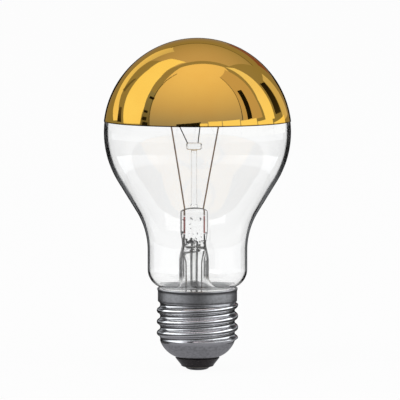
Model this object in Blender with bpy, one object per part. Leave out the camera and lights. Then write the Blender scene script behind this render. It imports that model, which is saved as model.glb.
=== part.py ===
"""Crown mirror bulb: a clear glass lamp with a gold mirrored crown on a screw cap.

The origin is the flat tip of the centre contact. +Z runs up the lamp to the crown.
+X is the right side of the lamp as it faces the viewer, who looks along +Y.
All sizes are in metres.
"""

import math

import bmesh
import bpy
from mathutils import Matrix, Vector

# Screw cap shell, a thin sheet with a right-hand rolled thread
CAP_HEIGHT = 0.0270
SHEET = 0.00035
COLLAR_RADIUS = 0.01275
COLLAR_HEIGHT = 0.0041
COLLAR_STEP = 0.0005
LIP_FLARE = 0.0002
LIP_HEIGHT = 0.0010
THREAD_PITCH = 0.003629
THREAD_CREST_RADIUS = 0.0131
THREAD_DEPTH = 0.0011
THREAD_START_Z = 0.0106
THREAD_FADE = 0.0011
SHOULDER_TOP_Z = 0.0098
CAP_SHOULDER_BEND = 0.0085
CAP_SHOULDER_LEAN = math.radians(20.0)
MOUTH_RADIUS = 0.0073

# Black glass insulator, contact plate and solder drops
INSULATOR_FLOOR = 0.0028
INSULATOR_BASE_Z = 0.0012
INSULATOR_BASE_RADIUS = 0.00495
INSULATOR_ROUND = 0.0005
INSULATOR_MOUTH_GAP = 0.0003
PLATE_RADIUS = 0.0045
PLATE_THICKNESS = 0.0004
PLATE_CHAMFER = 0.00012
PLATE_GAP = 0.00015
CENTRE_SOLDER_RADIUS = 0.0038
CENTRE_SOLDER_HEIGHT = 0.0009
CENTRE_SOLDER_FLAT = 0.0014
SOLDER_GAP = 0.0001
SIDE_SOLDER_WIDTH = 0.0030
SIDE_SOLDER_HEIGHT = 0.0020
SIDE_SOLDER_BULGE = 0.0008
SIDE_SOLDER_DROP = 0.0012
SIDE_SOLDER_ANGLE = math.radians(90.0)

# Cement ring between the glass skirt and the collar
CEMENT_THICKNESS = 0.0008
CEMENT_GAP = 0.0002

# Glass envelope
BULB_RADIUS = 0.0300
GLASS_WALL = 0.0007
FLANK_LEAN = math.radians(31.6)
FLANK_FILLET = 0.0240
NECK_RADIUS = 0.0160
NECK_LENGTH = 0.0056
GLASS_SHOULDER_BEND = 0.0060
LIP_GAP = 0.0005
SKIRT_FILLET = 0.0012
SKIRT_DEPTH = 0.0038

# Gold mirror coat
MIRROR_THICKNESS = 0.0001
MIRROR_GAP = 0.0001
MIRROR_RIM_RISE = 0.0032

# Stem: flare, tube and pinch
FUSE_GAP = 0.0003
FLARE_SETBACK = 0.0010
FLARE_HEIGHT = 0.0063
FLARE_TURN = math.radians(80.0)
STEM_RADIUS = 0.0048
STEM_WALL = 0.0010
STEM_LENGTH = 0.0085
PRESSED_LENGTH = 0.0045
PINCH_HALF_WIDTH = 0.0042
PINCH_HALF_DEPTH = 0.0019
PINCH_HEIGHT = 0.0091
PINCH_DOME = 0.0015
PINCH_SQUARENESS = 3.2
CAVITY_REACH = 0.0030
CAVITY_SIDE_WALL = 0.0004
BLOW_HOLE_RADIUS = 0.0008
BLOW_HOLE_DROP = 0.0011

# Exhaust tube
EXHAUST_RADIUS = 0.0012
EXHAUST_WALL = 0.0004
EXHAUST_TIP_LIFT = 0.0053

# Arbor rod and its button
ROD_RADIUS = 0.00095
ROD_LENGTH = 0.0181
ROD_FOOT_FLARE = 0.0003
ROD_FOOT_HEIGHT = 0.0009
BUTTON_RADIUS = 0.00255
BUTTON_HEIGHT = 0.0023
BUTTON_ROUND = 0.0007

# How the mount stands in the neck
MOUNT_SHIFT = -0.0008
MOUNT_TURN = math.radians(16.0)

# Lead, seal, support and filament wires
LEAD_RADIUS = 0.00024
SEAL_RADIUS = 0.00025
OUTER_LEAD_RADIUS = 0.00020
SUPPORT_RADIUS = 0.00014
WIRE_GAP = 0.00012
JOINT_GAP = 0.0002
LEAD_SPACING = 0.0033
LEAD_SINK = 0.0015
LEAD_SPREAD = 0.0088
LEAD_HOOK = 0.0009
OUTER_LEAD_SPACING = 0.0026
OUTER_LEAD_SINK = 0.0023
SUPPORT_SINK = 0.0010
SUPPORT_FOOT_RADIUS = 0.0016
SUPPORT_FOOT_ANGLE = math.radians(30.0)
SUPPORT_TIP_ANGLE = math.radians(60.0)
SUPPORT_LOOP_TURN = math.radians(270.0)
SUPPORT_LOOP_GAP = 0.0002
FILAMENT_RISE = 0.0072
FILAMENT_WIRE_RADIUS = 0.00010
COIL_RADIUS = 0.00050
COIL_TURNS = 22

# Fineness of the meshes
BULB_SEGMENTS = 32
CAP_SEGMENTS = 32
STEM_SEGMENTS = 20
SMALL_SEGMENTS = 16
THREAD_ROWS_PER_PITCH = 6
COIL_POINTS_PER_TURN = 6
OUTER_ARC_STEP = math.radians(8.4)
INNER_ARC_STEP = math.radians(12.0)
SHARP_ANGLE = math.radians(38.0)

# Heights and radii that follow from the sizes above, from the cap up to the crown
COLLAR_BORE = COLLAR_RADIUS - SHEET
COLLAR_BASE_Z = CAP_HEIGHT - COLLAR_HEIGHT
THREAD_TOP_Z = COLLAR_BASE_Z - COLLAR_STEP
THREAD_ROOT_RADIUS = THREAD_CREST_RADIUS - THREAD_DEPTH
CAP_BEND_R = THREAD_ROOT_RADIUS - CAP_SHOULDER_BEND * math.cos(CAP_SHOULDER_LEAN)
CAP_BEND_Z = SHOULDER_TOP_Z + CAP_SHOULDER_BEND * math.sin(CAP_SHOULDER_LEAN)
CAP_BEND_END = math.acos((MOUTH_RADIUS - CAP_BEND_R) / CAP_SHOULDER_BEND)
MOUTH_Z = CAP_BEND_Z - CAP_SHOULDER_BEND * math.sin(CAP_BEND_END)
INSULATOR_TOP_Z = MOUTH_Z + INSULATOR_FLOOR
SKIRT_RADIUS = COLLAR_BORE - CEMENT_THICKNESS - 2.0 * CEMENT_GAP
GLASS_BEND_R = NECK_RADIUS - GLASS_SHOULDER_BEND
GLASS_BEND_Z = CAP_HEIGHT + LIP_GAP + math.sqrt(GLASS_SHOULDER_BEND ** 2 - (COLLAR_BORE - GLASS_BEND_R) ** 2)
FILLET_REACH = GLASS_SHOULDER_BEND + SKIRT_FILLET
SHOULDER_SWEEP = math.acos((SKIRT_RADIUS + SKIRT_FILLET - GLASS_BEND_R) / FILLET_REACH)
SKIRT_TOP_Z = GLASS_BEND_Z - FILLET_REACH * math.sin(SHOULDER_SWEEP)
SKIRT_END_Z = CAP_HEIGHT - SKIRT_DEPTH
NECK_TOP_Z = GLASS_BEND_Z + NECK_LENGTH
FLANK_FOOT_R = NECK_RADIUS + FLANK_FILLET * (1.0 - math.cos(FLANK_LEAN))
FLANK_FOOT_Z = NECK_TOP_Z + FLANK_FILLET * math.sin(FLANK_LEAN)
FLANK_RUN = BULB_RADIUS * math.cos(FLANK_LEAN) - FLANK_FOOT_R
CROWN_Z = FLANK_FOOT_Z + FLANK_RUN / math.tan(FLANK_LEAN) + BULB_RADIUS * math.sin(FLANK_LEAN)
RIM_ANGLE = math.asin(MIRROR_RIM_RISE / BULB_RADIUS)
FLARE_RIM_RADIUS = SKIRT_RADIUS - GLASS_WALL - FUSE_GAP
FLARE_RIM_Z = SKIRT_END_Z + FLARE_SETBACK
STEM_BASE_Z = FLARE_RIM_Z + FLARE_HEIGHT
STEM_TOP_Z = STEM_BASE_Z + STEM_LENGTH
CAVITY_TOP_Z = STEM_TOP_Z + CAVITY_REACH
PINCH_BASE_Z = STEM_TOP_Z + PRESSED_LENGTH
PINCH_TOP_Z = PINCH_BASE_Z + PINCH_HEIGHT
ROD_FOOT_Z = PINCH_TOP_Z + FUSE_GAP
BUTTON_BASE_Z = ROD_FOOT_Z + ROD_LENGTH
BUTTON_TOP_Z = BUTTON_BASE_Z + BUTTON_HEIGHT
EXHAUST_TOP_Z = CAVITY_TOP_Z - FUSE_GAP
EXHAUST_TIP_Z = INSULATOR_TOP_Z + EXHAUST_TIP_LIFT
FILAMENT_Z = CROWN_Z + FILAMENT_RISE
SEAL_TOP_Z = PINCH_TOP_Z - PINCH_DOME - LEAD_SINK + LEAD_RADIUS
SEAL_BASE_Z = CAVITY_TOP_Z + OUTER_LEAD_SINK
PLATE_BASE_Z = CENTRE_SOLDER_HEIGHT + SOLDER_GAP


def clear_scene():
    """Remove every object that the scene starts with."""
    for item in list(bpy.data.objects):
        bpy.data.objects.remove(item, do_unlink=True)


def make_material(name, colour, roughness, metallic=0.0, transmission=0.0):
    """Return a Principled material."""
    material = bpy.data.materials.new(name)
    material.use_nodes = True
    shader = material.node_tree.nodes["Principled BSDF"]
    shader.inputs["Base Color"].default_value = (*colour, 1.0)
    shader.inputs["Roughness"].default_value = roughness
    shader.inputs["Metallic"].default_value = metallic
    shader.inputs["Transmission Weight"].default_value = transmission
    return material


def arc(centre_r, centre_z, radius, start, end, step):
    """Return points (r, z) along an arc in the plane of a meridian."""
    count = max(1, math.ceil(abs(end - start) / step - 1e-6))
    points = []
    for index in range(count + 1):
        angle = start + (end - start) * index / count
        points.append((centre_r + radius * math.cos(angle), centre_z + radius * math.sin(angle)))
    return points


def add_object(name, shape, material):
    """Link an object for a mesh or a curve and give it its material."""
    shape.materials.append(material)
    item = bpy.data.objects.new(name, shape)
    bpy.context.scene.collection.objects.link(item)
    return item


def add_solid(name, bm, material):
    """Turn a finished bmesh into a smooth-shaded object."""
    bmesh.ops.recalc_face_normals(bm, faces=bm.faces)
    mesh = bpy.data.meshes.new(name)
    bm.to_mesh(mesh)
    bm.free()
    mesh.shade_smooth()
    mesh.set_sharp_from_angle(angle=SHARP_ANGLE)
    return add_object(name, mesh, material)


def spin_outline(outline, segments, closed):
    """Spin an outline of (r, z) points once around Z."""
    bm = bmesh.new()
    verts = [bm.verts.new((r, 0.0, z)) for r, z in outline]
    pairs = list(zip(verts, verts[1:]))
    if closed:
        pairs.append((verts[-1], verts[0]))
    edges = [bm.edges.new(pair) for pair in pairs]
    bmesh.ops.spin(
        bm,
        geom=verts + edges,
        cent=(0.0, 0.0, 0.0),
        axis=(0.0, 0.0, 1.0),
        angle=math.tau,
        steps=segments,
        use_merge=True,
    )
    bmesh.ops.remove_doubles(bm, verts=bm.verts, dist=1e-7)
    return bm


def turned(name, outline, material, segments, closed=False):
    """Make a turned piece whose outline is closed or starts and ends on the axis."""
    return add_solid(name, spin_outline(outline, segments, closed), material)


def wire(name, points, radius, material, resolution=1):
    """Make a round wire along straight runs between points."""
    curve = bpy.data.curves.new(name, "CURVE")
    curve.dimensions = "3D"
    curve.bevel_depth = radius
    curve.bevel_resolution = resolution
    curve.use_fill_caps = True
    spline = curve.splines.new("POLY")
    spline.points.add(len(points) - 1)
    for target, point in zip(spline.points, points):
        target.co = (*point, 1.0)
    return add_object(name, curve, material)


def drill(item, name, start, end, radius):
    """Cut a round channel from start to end through an item."""
    run = Vector(end) - Vector(start)
    bm = bmesh.new()
    bmesh.ops.create_cone(
        bm,
        cap_ends=True,
        segments=12,
        radius1=radius,
        radius2=radius,
        depth=run.length,
    )
    mesh = bpy.data.meshes.new(name)
    bm.to_mesh(mesh)
    bm.free()
    cutter = bpy.data.objects.new(name, mesh)
    bpy.context.scene.collection.objects.link(cutter)
    cutter.location = (Vector(start) + Vector(end)) / 2.0
    cutter.rotation_euler = run.to_track_quat("Z", "Y").to_euler()
    subtract(item, cutter)


def subtract(item, cutter):
    """Take a cutter's volume out of an item and keep the cutter as a guide."""
    cutter.hide_render = True
    cutter.display_type = "WIRE"
    cut = item.modifiers.new(cutter.name, "BOOLEAN")
    cut.operation = "DIFFERENCE"
    cut.solver = "EXACT"
    cut.object = cutter


def on_mount(x, y, z):
    """Return the place of a point that is given in the turned and shifted mount."""
    turned_point = Matrix.Rotation(MOUNT_TURN, 3, "Z") @ Vector((x, y, z))
    return turned_point + Vector((MOUNT_SHIFT, 0.0, 0.0))


def around_axis(radius, angle, z):
    """Return a point at a radius and an angle around the lamp's axis."""
    return Vector((radius * math.cos(angle), radius * math.sin(angle), z))


def smooth_step(share):
    """Ease a share between 0 and 1."""
    share = min(1.0, max(0.0, share))
    return share * share * (3.0 - 2.0 * share)


def blend(start, end, share):
    """Return the value a share of the way from start to end."""
    return start + (end - start) * share


def bulb_outline(inset, step):
    """Return the bulb's meridian from crown to skirt, on the surface inset from the outer one."""
    ball = BULB_RADIUS - inset
    points = arc(0.0, CROWN_Z, ball, math.pi / 2.0, RIM_ANGLE, step)
    points += arc(0.0, CROWN_Z, ball, RIM_ANGLE, -FLANK_LEAN, step)[1:]
    fillet_r = NECK_RADIUS + FLANK_FILLET
    points += arc(fillet_r, NECK_TOP_Z, FLANK_FILLET + inset, math.pi - FLANK_LEAN, math.pi, step)
    points += arc(GLASS_BEND_R, GLASS_BEND_Z, GLASS_SHOULDER_BEND - inset, 0.0, -SHOULDER_SWEEP, 2.0 * step)
    skirt_r = SKIRT_RADIUS + SKIRT_FILLET
    skirt_start = math.pi - SHOULDER_SWEEP
    points += arc(skirt_r, SKIRT_TOP_Z, SKIRT_FILLET + inset, skirt_start, math.pi, 4.0 * step)[1:]
    points.append((SKIRT_RADIUS - inset, SKIRT_END_Z))
    return points


def build_envelope(glass):
    """Blow the clear pear-shaped bulb, open at its skirt."""
    outline = bulb_outline(0.0, OUTER_ARC_STEP)
    outline += reversed(bulb_outline(GLASS_WALL, INNER_ARC_STEP))
    turned("glass_envelope", outline, glass, BULB_SEGMENTS)


def build_mirror(gold):
    """Coat the crown down to the mirror's rim."""
    inner = BULB_RADIUS + MIRROR_GAP
    outer = inner + MIRROR_THICKNESS
    outline = arc(0.0, CROWN_Z, outer, math.pi / 2.0, RIM_ANGLE, OUTER_ARC_STEP)
    outline += arc(0.0, CROWN_Z, inner, RIM_ANGLE, math.pi / 2.0, OUTER_ARC_STEP)
    turned("crown_mirror", outline, gold, BULB_SEGMENTS)


def thread_rise(angle, z, inset):
    """Return how far the rolled thread stands over its root, on the surface at an inset.

    Crest and root are arcs of one radius that meet without a flat between them.
    """
    turns = (z - THREAD_START_Z) / THREAD_PITCH - angle / math.tau
    offset = THREAD_PITCH * abs(turns - round(turns))
    quarter = THREAD_PITCH / 4.0
    half_depth = THREAD_DEPTH / 2.0
    bend = (quarter ** 2 + half_depth ** 2) / (2.0 * half_depth)
    half_angle = 2.0 * math.atan(half_depth / quarter)
    if offset <= (bend - inset) * math.sin(half_angle):
        return THREAD_DEPTH - bend + inset + math.sqrt((bend - inset) ** 2 - offset ** 2)
    from_root = THREAD_PITCH / 2.0 - offset
    return bend + inset - math.sqrt((bend + inset) ** 2 - from_root ** 2)


def cap_side(inset, lip_flare):
    """Return one side of the cap sheet from the lip down to the mouth."""
    lip_z = CAP_HEIGHT - LIP_HEIGHT
    points = [
        (COLLAR_RADIUS - inset + lip_flare, CAP_HEIGHT - LIP_HEIGHT / 3.0),
        (COLLAR_RADIUS - inset + lip_flare / 2.0, lip_z + LIP_HEIGHT / 4.0),
        (COLLAR_RADIUS - inset, lip_z),
        (COLLAR_RADIUS - inset, COLLAR_BASE_Z),
    ]
    rows = math.ceil((THREAD_TOP_Z - SHOULDER_TOP_Z) / THREAD_PITCH * THREAD_ROWS_PER_PITCH)
    for row in range(rows):
        points.append((THREAD_ROOT_RADIUS - inset, blend(THREAD_TOP_Z, SHOULDER_TOP_Z, row / rows)))
    bend = CAP_SHOULDER_BEND - inset
    points += arc(CAP_BEND_R, CAP_BEND_Z, bend, -CAP_SHOULDER_LEAN, -CAP_BEND_END, OUTER_ARC_STEP * 1.3)
    return points


def roll_thread(bm):
    """Press the thread into both sides of the spun cap sheet."""
    middle = THREAD_ROOT_RADIUS - SHEET / 2.0
    for vert in bm.verts:
        if not SHOULDER_TOP_Z < vert.co.z <= THREAD_TOP_Z:
            continue
        radius = vert.co.xy.length
        inset = 0.0 if radius > middle else SHEET
        angle = math.atan2(vert.co.y, vert.co.x)
        from_end = min(vert.co.z - SHOULDER_TOP_Z, THREAD_TOP_Z + COLLAR_STEP - vert.co.z)
        rise = thread_rise(angle, vert.co.z, inset) * smooth_step(from_end / THREAD_FADE)
        vert.co.xy *= (radius + rise) / radius


def build_cap_shell(metal):
    """Draw the cap sheet and roll its thread."""
    outline = [(COLLAR_RADIUS - SHEET / 2.0 + LIP_FLARE / 2.0, CAP_HEIGHT)]
    outline += cap_side(0.0, LIP_FLARE)
    outline += reversed(cap_side(SHEET, 0.0))
    bm = spin_outline(outline, CAP_SEGMENTS, closed=True)
    roll_thread(bm)
    add_solid("cap_shell", bm, metal)


def build_cement(cement):
    """Fill the collar around the glass skirt, with a slot for the side lead."""
    inner = SKIRT_RADIUS + CEMENT_GAP
    outer = inner + CEMENT_THICKNESS
    outline = [(inner, SKIRT_TOP_Z), (outer, SKIRT_TOP_Z), (outer, SKIRT_END_Z), (inner, SKIRT_END_Z)]
    ring = turned("cap_cement", outline, cement, CAP_SEGMENTS, closed=True)
    slot_width = 2.0 * (OUTER_LEAD_RADIUS + FUSE_GAP)
    bm = bmesh.new()
    bmesh.ops.create_cube(bm, size=1.0)
    slot_size = Vector((4.0 * CEMENT_THICKNESS, slot_width, 2.0 * SKIRT_DEPTH))
    bmesh.ops.scale(bm, vec=slot_size, verts=bm.verts)
    mesh = bpy.data.meshes.new("cement_slot")
    bm.to_mesh(mesh)
    bm.free()
    slot = bpy.data.objects.new("cement_slot", mesh)
    bpy.context.scene.collection.objects.link(slot)
    slot.location = around_axis((inner + outer) / 2.0, SIDE_SOLDER_ANGLE, (SKIRT_TOP_Z + SKIRT_END_Z) / 2.0)
    slot.rotation_euler = (0.0, 0.0, SIDE_SOLDER_ANGLE)
    subtract(ring, slot)


def build_insulator(black_glass):
    """Mould the black glass that fills the cap's mouth around the centre lead."""
    seat = CAP_SHOULDER_BEND - SHEET - INSULATOR_MOUTH_GAP
    throat = MOUTH_RADIUS - SHEET - INSULATOR_MOUTH_GAP / 3.0
    top_angle = math.asin((CAP_BEND_Z - INSULATOR_TOP_Z) / seat)
    throat_angle = math.acos((throat - CAP_BEND_R) / seat)
    bore = OUTER_LEAD_RADIUS + FUSE_GAP
    recess = PLATE_RADIUS + PLATE_GAP
    recess_z = PLATE_BASE_Z + PLATE_THICKNESS + PLATE_GAP
    outline = [(bore, INSULATOR_TOP_Z)]
    outline += arc(CAP_BEND_R, CAP_BEND_Z, seat, -top_angle, -throat_angle, OUTER_ARC_STEP)
    outline.append((throat, MOUTH_Z - INSULATOR_MOUTH_GAP))
    outline.append((MOUTH_RADIUS, MOUTH_Z - INSULATOR_MOUTH_GAP))
    outline.append((INSULATOR_BASE_RADIUS + INSULATOR_ROUND / 2.0, INSULATOR_BASE_Z + INSULATOR_ROUND))
    outline.append((INSULATOR_BASE_RADIUS, INSULATOR_BASE_Z))
    outline.append((recess, INSULATOR_BASE_Z))
    outline.append((recess, recess_z))
    outline.append((bore, recess_z))
    turned("cap_insulator", outline, black_glass, CAP_SEGMENTS, closed=True)


def build_contact(brass, solder):
    """Stamp the contact plate and drop the solder under it."""
    hole = OUTER_LEAD_RADIUS + PLATE_GAP
    top = PLATE_BASE_Z + PLATE_THICKNESS
    outline = [
        (hole, top),
        (PLATE_RADIUS, top),
        (PLATE_RADIUS, PLATE_BASE_Z + PLATE_CHAMFER),
        (PLATE_RADIUS - PLATE_CHAMFER, PLATE_BASE_Z),
        (hole, PLATE_BASE_Z),
    ]
    turned("contact_plate", outline, brass, 2 * SMALL_SEGMENTS, closed=True)
    outline = [(0.0, CENTRE_SOLDER_HEIGHT)]
    for index in range(6):
        angle = math.pi / 2.0 * index / 5.0
        outline.append((
            blend(CENTRE_SOLDER_FLAT, CENTRE_SOLDER_RADIUS, math.cos(angle)),
            CENTRE_SOLDER_HEIGHT * (1.0 - math.sin(angle)),
        ))
    outline.append((0.0, 0.0))
    turned("centre_solder", outline, solder, 2 * SMALL_SEGMENTS)


def build_side_solder(solder):
    """Drop the solder that joins the side lead to the collar."""
    seat = COLLAR_RADIUS + LIP_FLARE + SOLDER_GAP
    bm = bmesh.new()
    bmesh.ops.create_uvsphere(bm, u_segments=SMALL_SEGMENTS, v_segments=SMALL_SEGMENTS // 2, radius=0.5)
    size = Vector((2.0 * SIDE_SOLDER_BULGE, SIDE_SOLDER_WIDTH, SIDE_SOLDER_HEIGHT))
    bmesh.ops.scale(bm, vec=size, verts=bm.verts)
    drop = add_solid("side_solder", bm, solder)
    drop_z = CAP_HEIGHT - SIDE_SOLDER_DROP
    drop.location = around_axis(seat - SIDE_SOLDER_BULGE / 4.0, SIDE_SOLDER_ANGLE, drop_z)
    drop.rotation_euler = (0.0, 0.0, SIDE_SOLDER_ANGLE)
    below = (0.0, 0.0, drop_z - SIDE_SOLDER_HEIGHT)
    above = (0.0, 0.0, drop_z + SIDE_SOLDER_HEIGHT)
    bm = bmesh.new()
    bmesh.ops.create_cone(
        bm,
        cap_ends=True,
        segments=2 * CAP_SEGMENTS,
        radius1=seat,
        radius2=seat,
        depth=2.0 * SIDE_SOLDER_HEIGHT,
    )
    mesh = bpy.data.meshes.new("collar_seat")
    bm.to_mesh(mesh)
    bm.free()
    guide = bpy.data.objects.new("collar_seat", mesh)
    bpy.context.scene.collection.objects.link(guide)
    guide.location = (Vector(below) + Vector(above)) / 2.0
    subtract(drop, guide)


def stem_ring(z, half_width, half_depth, squareness, lean):
    """Return one cross-section of the stem as points around its middle.

    A lean of 1 stands over the lamp's axis and a lean of 0 over the mount's axis.
    """
    points = []
    for index in range(STEM_SEGMENTS):
        angle = math.tau * index / STEM_SEGMENTS
        across = math.copysign(abs(math.cos(angle)) ** (2.0 / squareness), math.cos(angle))
        deep = math.copysign(abs(math.sin(angle)) ** (2.0 / squareness), math.sin(angle))
        point = on_mount(half_width * across, half_depth * deep, z)
        point.x -= MOUNT_SHIFT * lean
        points.append(point)
    return points


def flare_rings(inset):
    """Return the trumpet's cross-sections from its rim up to the tube."""
    rings = []
    steps = 6
    for step in range(steps, -1, -1):
        turn = FLARE_TURN * step / steps
        spread = (1.0 - math.cos(turn)) / (1.0 - math.cos(FLARE_TURN))
        drop = math.sin(turn) / math.sin(FLARE_TURN)
        radius = blend(STEM_RADIUS, FLARE_RIM_RADIUS, spread) - inset * math.cos(turn)
        z = STEM_BASE_Z - FLARE_HEIGHT * drop - inset * math.sin(turn)
        rings.append(stem_ring(z, radius, radius, 2.0, smooth_step(drop)))
    return rings


def build_stem(glass):
    """Draw the flare tube and press its top flat into the pinch."""
    outside = flare_rings(0.0)
    steps = 5
    for step in range(steps + 1):
        share = smooth_step(step / steps)
        outside.append(stem_ring(
            STEM_TOP_Z + PRESSED_LENGTH * step / steps,
            blend(STEM_RADIUS, PINCH_HALF_WIDTH, share),
            blend(STEM_RADIUS, PINCH_HALF_DEPTH, share),
            blend(2.0, PINCH_SQUARENESS, share),
            0.0,
        ))
    for angle in (0.0, math.radians(28.0), math.radians(52.0), math.radians(72.0)):
        outside.append(stem_ring(
            PINCH_TOP_Z - PINCH_DOME * (1.0 - math.sin(angle)),
            PINCH_HALF_WIDTH * math.cos(angle),
            PINCH_HALF_DEPTH * math.cos(angle),
            PINCH_SQUARENESS,
            0.0,
        ))
    inside = flare_rings(STEM_WALL)
    bore = STEM_RADIUS - STEM_WALL
    ceiling_depth = EXHAUST_RADIUS + FUSE_GAP
    ceiling_width = PINCH_HALF_WIDTH - CAVITY_SIDE_WALL
    steps = 3
    for step in range(steps + 1):
        share = smooth_step(step / steps)
        inside.append(stem_ring(
            STEM_TOP_Z + CAVITY_REACH * step / steps,
            blend(bore, ceiling_width, share),
            blend(bore, ceiling_depth, share),
            2.0,
            0.0,
        ))
    bm = bmesh.new()
    rings = [[bm.verts.new(point) for point in ring] for ring in reversed(outside)]
    rings += [[bm.verts.new(point) for point in ring] for ring in inside]
    bm.faces.new(rings[0])
    for upper, lower in zip(rings, rings[1:]):
        for index in range(STEM_SEGMENTS):
            after = (index + 1) % STEM_SEGMENTS
            bm.faces.new((upper[index], upper[after], lower[after], lower[index]))
    bm.faces.new(rings[-1])
    stem = add_solid("stem", bm, glass)
    channel = max(LEAD_RADIUS, SEAL_RADIUS, OUTER_LEAD_RADIUS) + WIRE_GAP
    for side, name in ((-1.0, "seal_channel_left"), (1.0, "seal_channel_right")):
        foot = on_mount(side * LEAD_SPACING, 0.0, CAVITY_TOP_Z - FUSE_GAP)
        head = on_mount(side * LEAD_SPACING, 0.0, PINCH_TOP_Z + PINCH_DOME)
        drill(stem, name, foot, head, channel)
    hole_z = CAVITY_TOP_Z - BLOW_HOLE_DROP
    inner_end = on_mount(0.0, EXHAUST_RADIUS, hole_z)
    outer_end = on_mount(0.0, 2.0 * STEM_RADIUS, hole_z)
    drill(stem, "blow_hole", inner_end, outer_end, BLOW_HOLE_RADIUS)


def build_exhaust_tube(glass):
    """Draw the exhaust tube, open under the pinch and tipped off inside the cap."""
    bore = EXHAUST_RADIUS - EXHAUST_WALL
    tip = EXHAUST_TIP_Z + EXHAUST_RADIUS
    outline = arc(0.0, tip, bore, -math.pi / 2.0, 0.0, 3.0 * OUTER_ARC_STEP)
    outline += [(bore, EXHAUST_TOP_Z), (EXHAUST_RADIUS, EXHAUST_TOP_Z)]
    outline += arc(0.0, tip, EXHAUST_RADIUS, 0.0, -math.pi / 2.0, 3.0 * OUTER_ARC_STEP)
    tube = turned("exhaust_tube", outline, glass, SMALL_SEGMENTS)
    tube.location = (MOUNT_SHIFT, 0.0, 0.0)


def support_foot(side):
    """Return where a support wire ends inside the button."""
    angle = SUPPORT_FOOT_ANGLE if side > 0.0 else math.pi - SUPPORT_FOOT_ANGLE
    foot_z = BUTTON_TOP_Z - SUPPORT_SINK
    return on_mount(SUPPORT_FOOT_RADIUS * math.cos(angle), SUPPORT_FOOT_RADIUS * math.sin(angle), foot_z)


def support_loop(side):
    """Return the points of the open loop that carries the filament's coil."""
    angle = SUPPORT_TIP_ANGLE if side > 0.0 else math.pi - SUPPORT_TIP_ANGLE
    loop = COIL_RADIUS + FILAMENT_WIRE_RADIUS + SUPPORT_LOOP_GAP + SUPPORT_RADIUS
    points = []
    steps = 8
    for step in range(steps + 1):
        turn = SUPPORT_LOOP_TURN * step / steps - math.pi / 2.0
        radius = LEAD_SPREAD + loop * math.cos(turn)
        place = around_axis(radius, angle, FILAMENT_Z + loop * math.sin(turn))
        points.append(on_mount(*place))
    return points


def build_arbor(glass, molybdenum):
    """Draw the arbor rod with its button, and set the support wires into it."""
    edge = BUTTON_RADIUS - BUTTON_ROUND
    outline = [
        (0.0, ROD_FOOT_Z),
        (ROD_RADIUS + ROD_FOOT_FLARE, ROD_FOOT_Z),
        (ROD_RADIUS + ROD_FOOT_FLARE / 4.0, ROD_FOOT_Z + ROD_FOOT_HEIGHT / 2.0),
        (ROD_RADIUS, ROD_FOOT_Z + ROD_FOOT_HEIGHT),
        (ROD_RADIUS, BUTTON_BASE_Z),
    ]
    quarter = math.pi / 2.0
    outline += arc(edge, BUTTON_BASE_Z + BUTTON_ROUND, BUTTON_ROUND, -quarter, 0.0, math.radians(30.0))
    outline += arc(edge, BUTTON_TOP_Z - BUTTON_ROUND, BUTTON_ROUND, 0.0, quarter, math.radians(30.0))
    outline.append((0.0, BUTTON_TOP_Z))
    rod = turned("arbor_rod", outline, glass, SMALL_SEGMENTS)
    rod.location = (MOUNT_SHIFT, 0.0, 0.0)
    for side, name in ((-1.0, "left"), (1.0, "right")):
        foot = support_foot(side)
        loop = support_loop(side)
        wire("support_wire_" + name, [foot] + loop, SUPPORT_RADIUS, molybdenum)
        run = (loop[0] - foot).normalized()
        start = foot - run * WIRE_GAP
        drill(rod, "support_socket_" + name, start, foot + run * BUTTON_HEIGHT, SUPPORT_RADIUS + WIRE_GAP)


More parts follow.
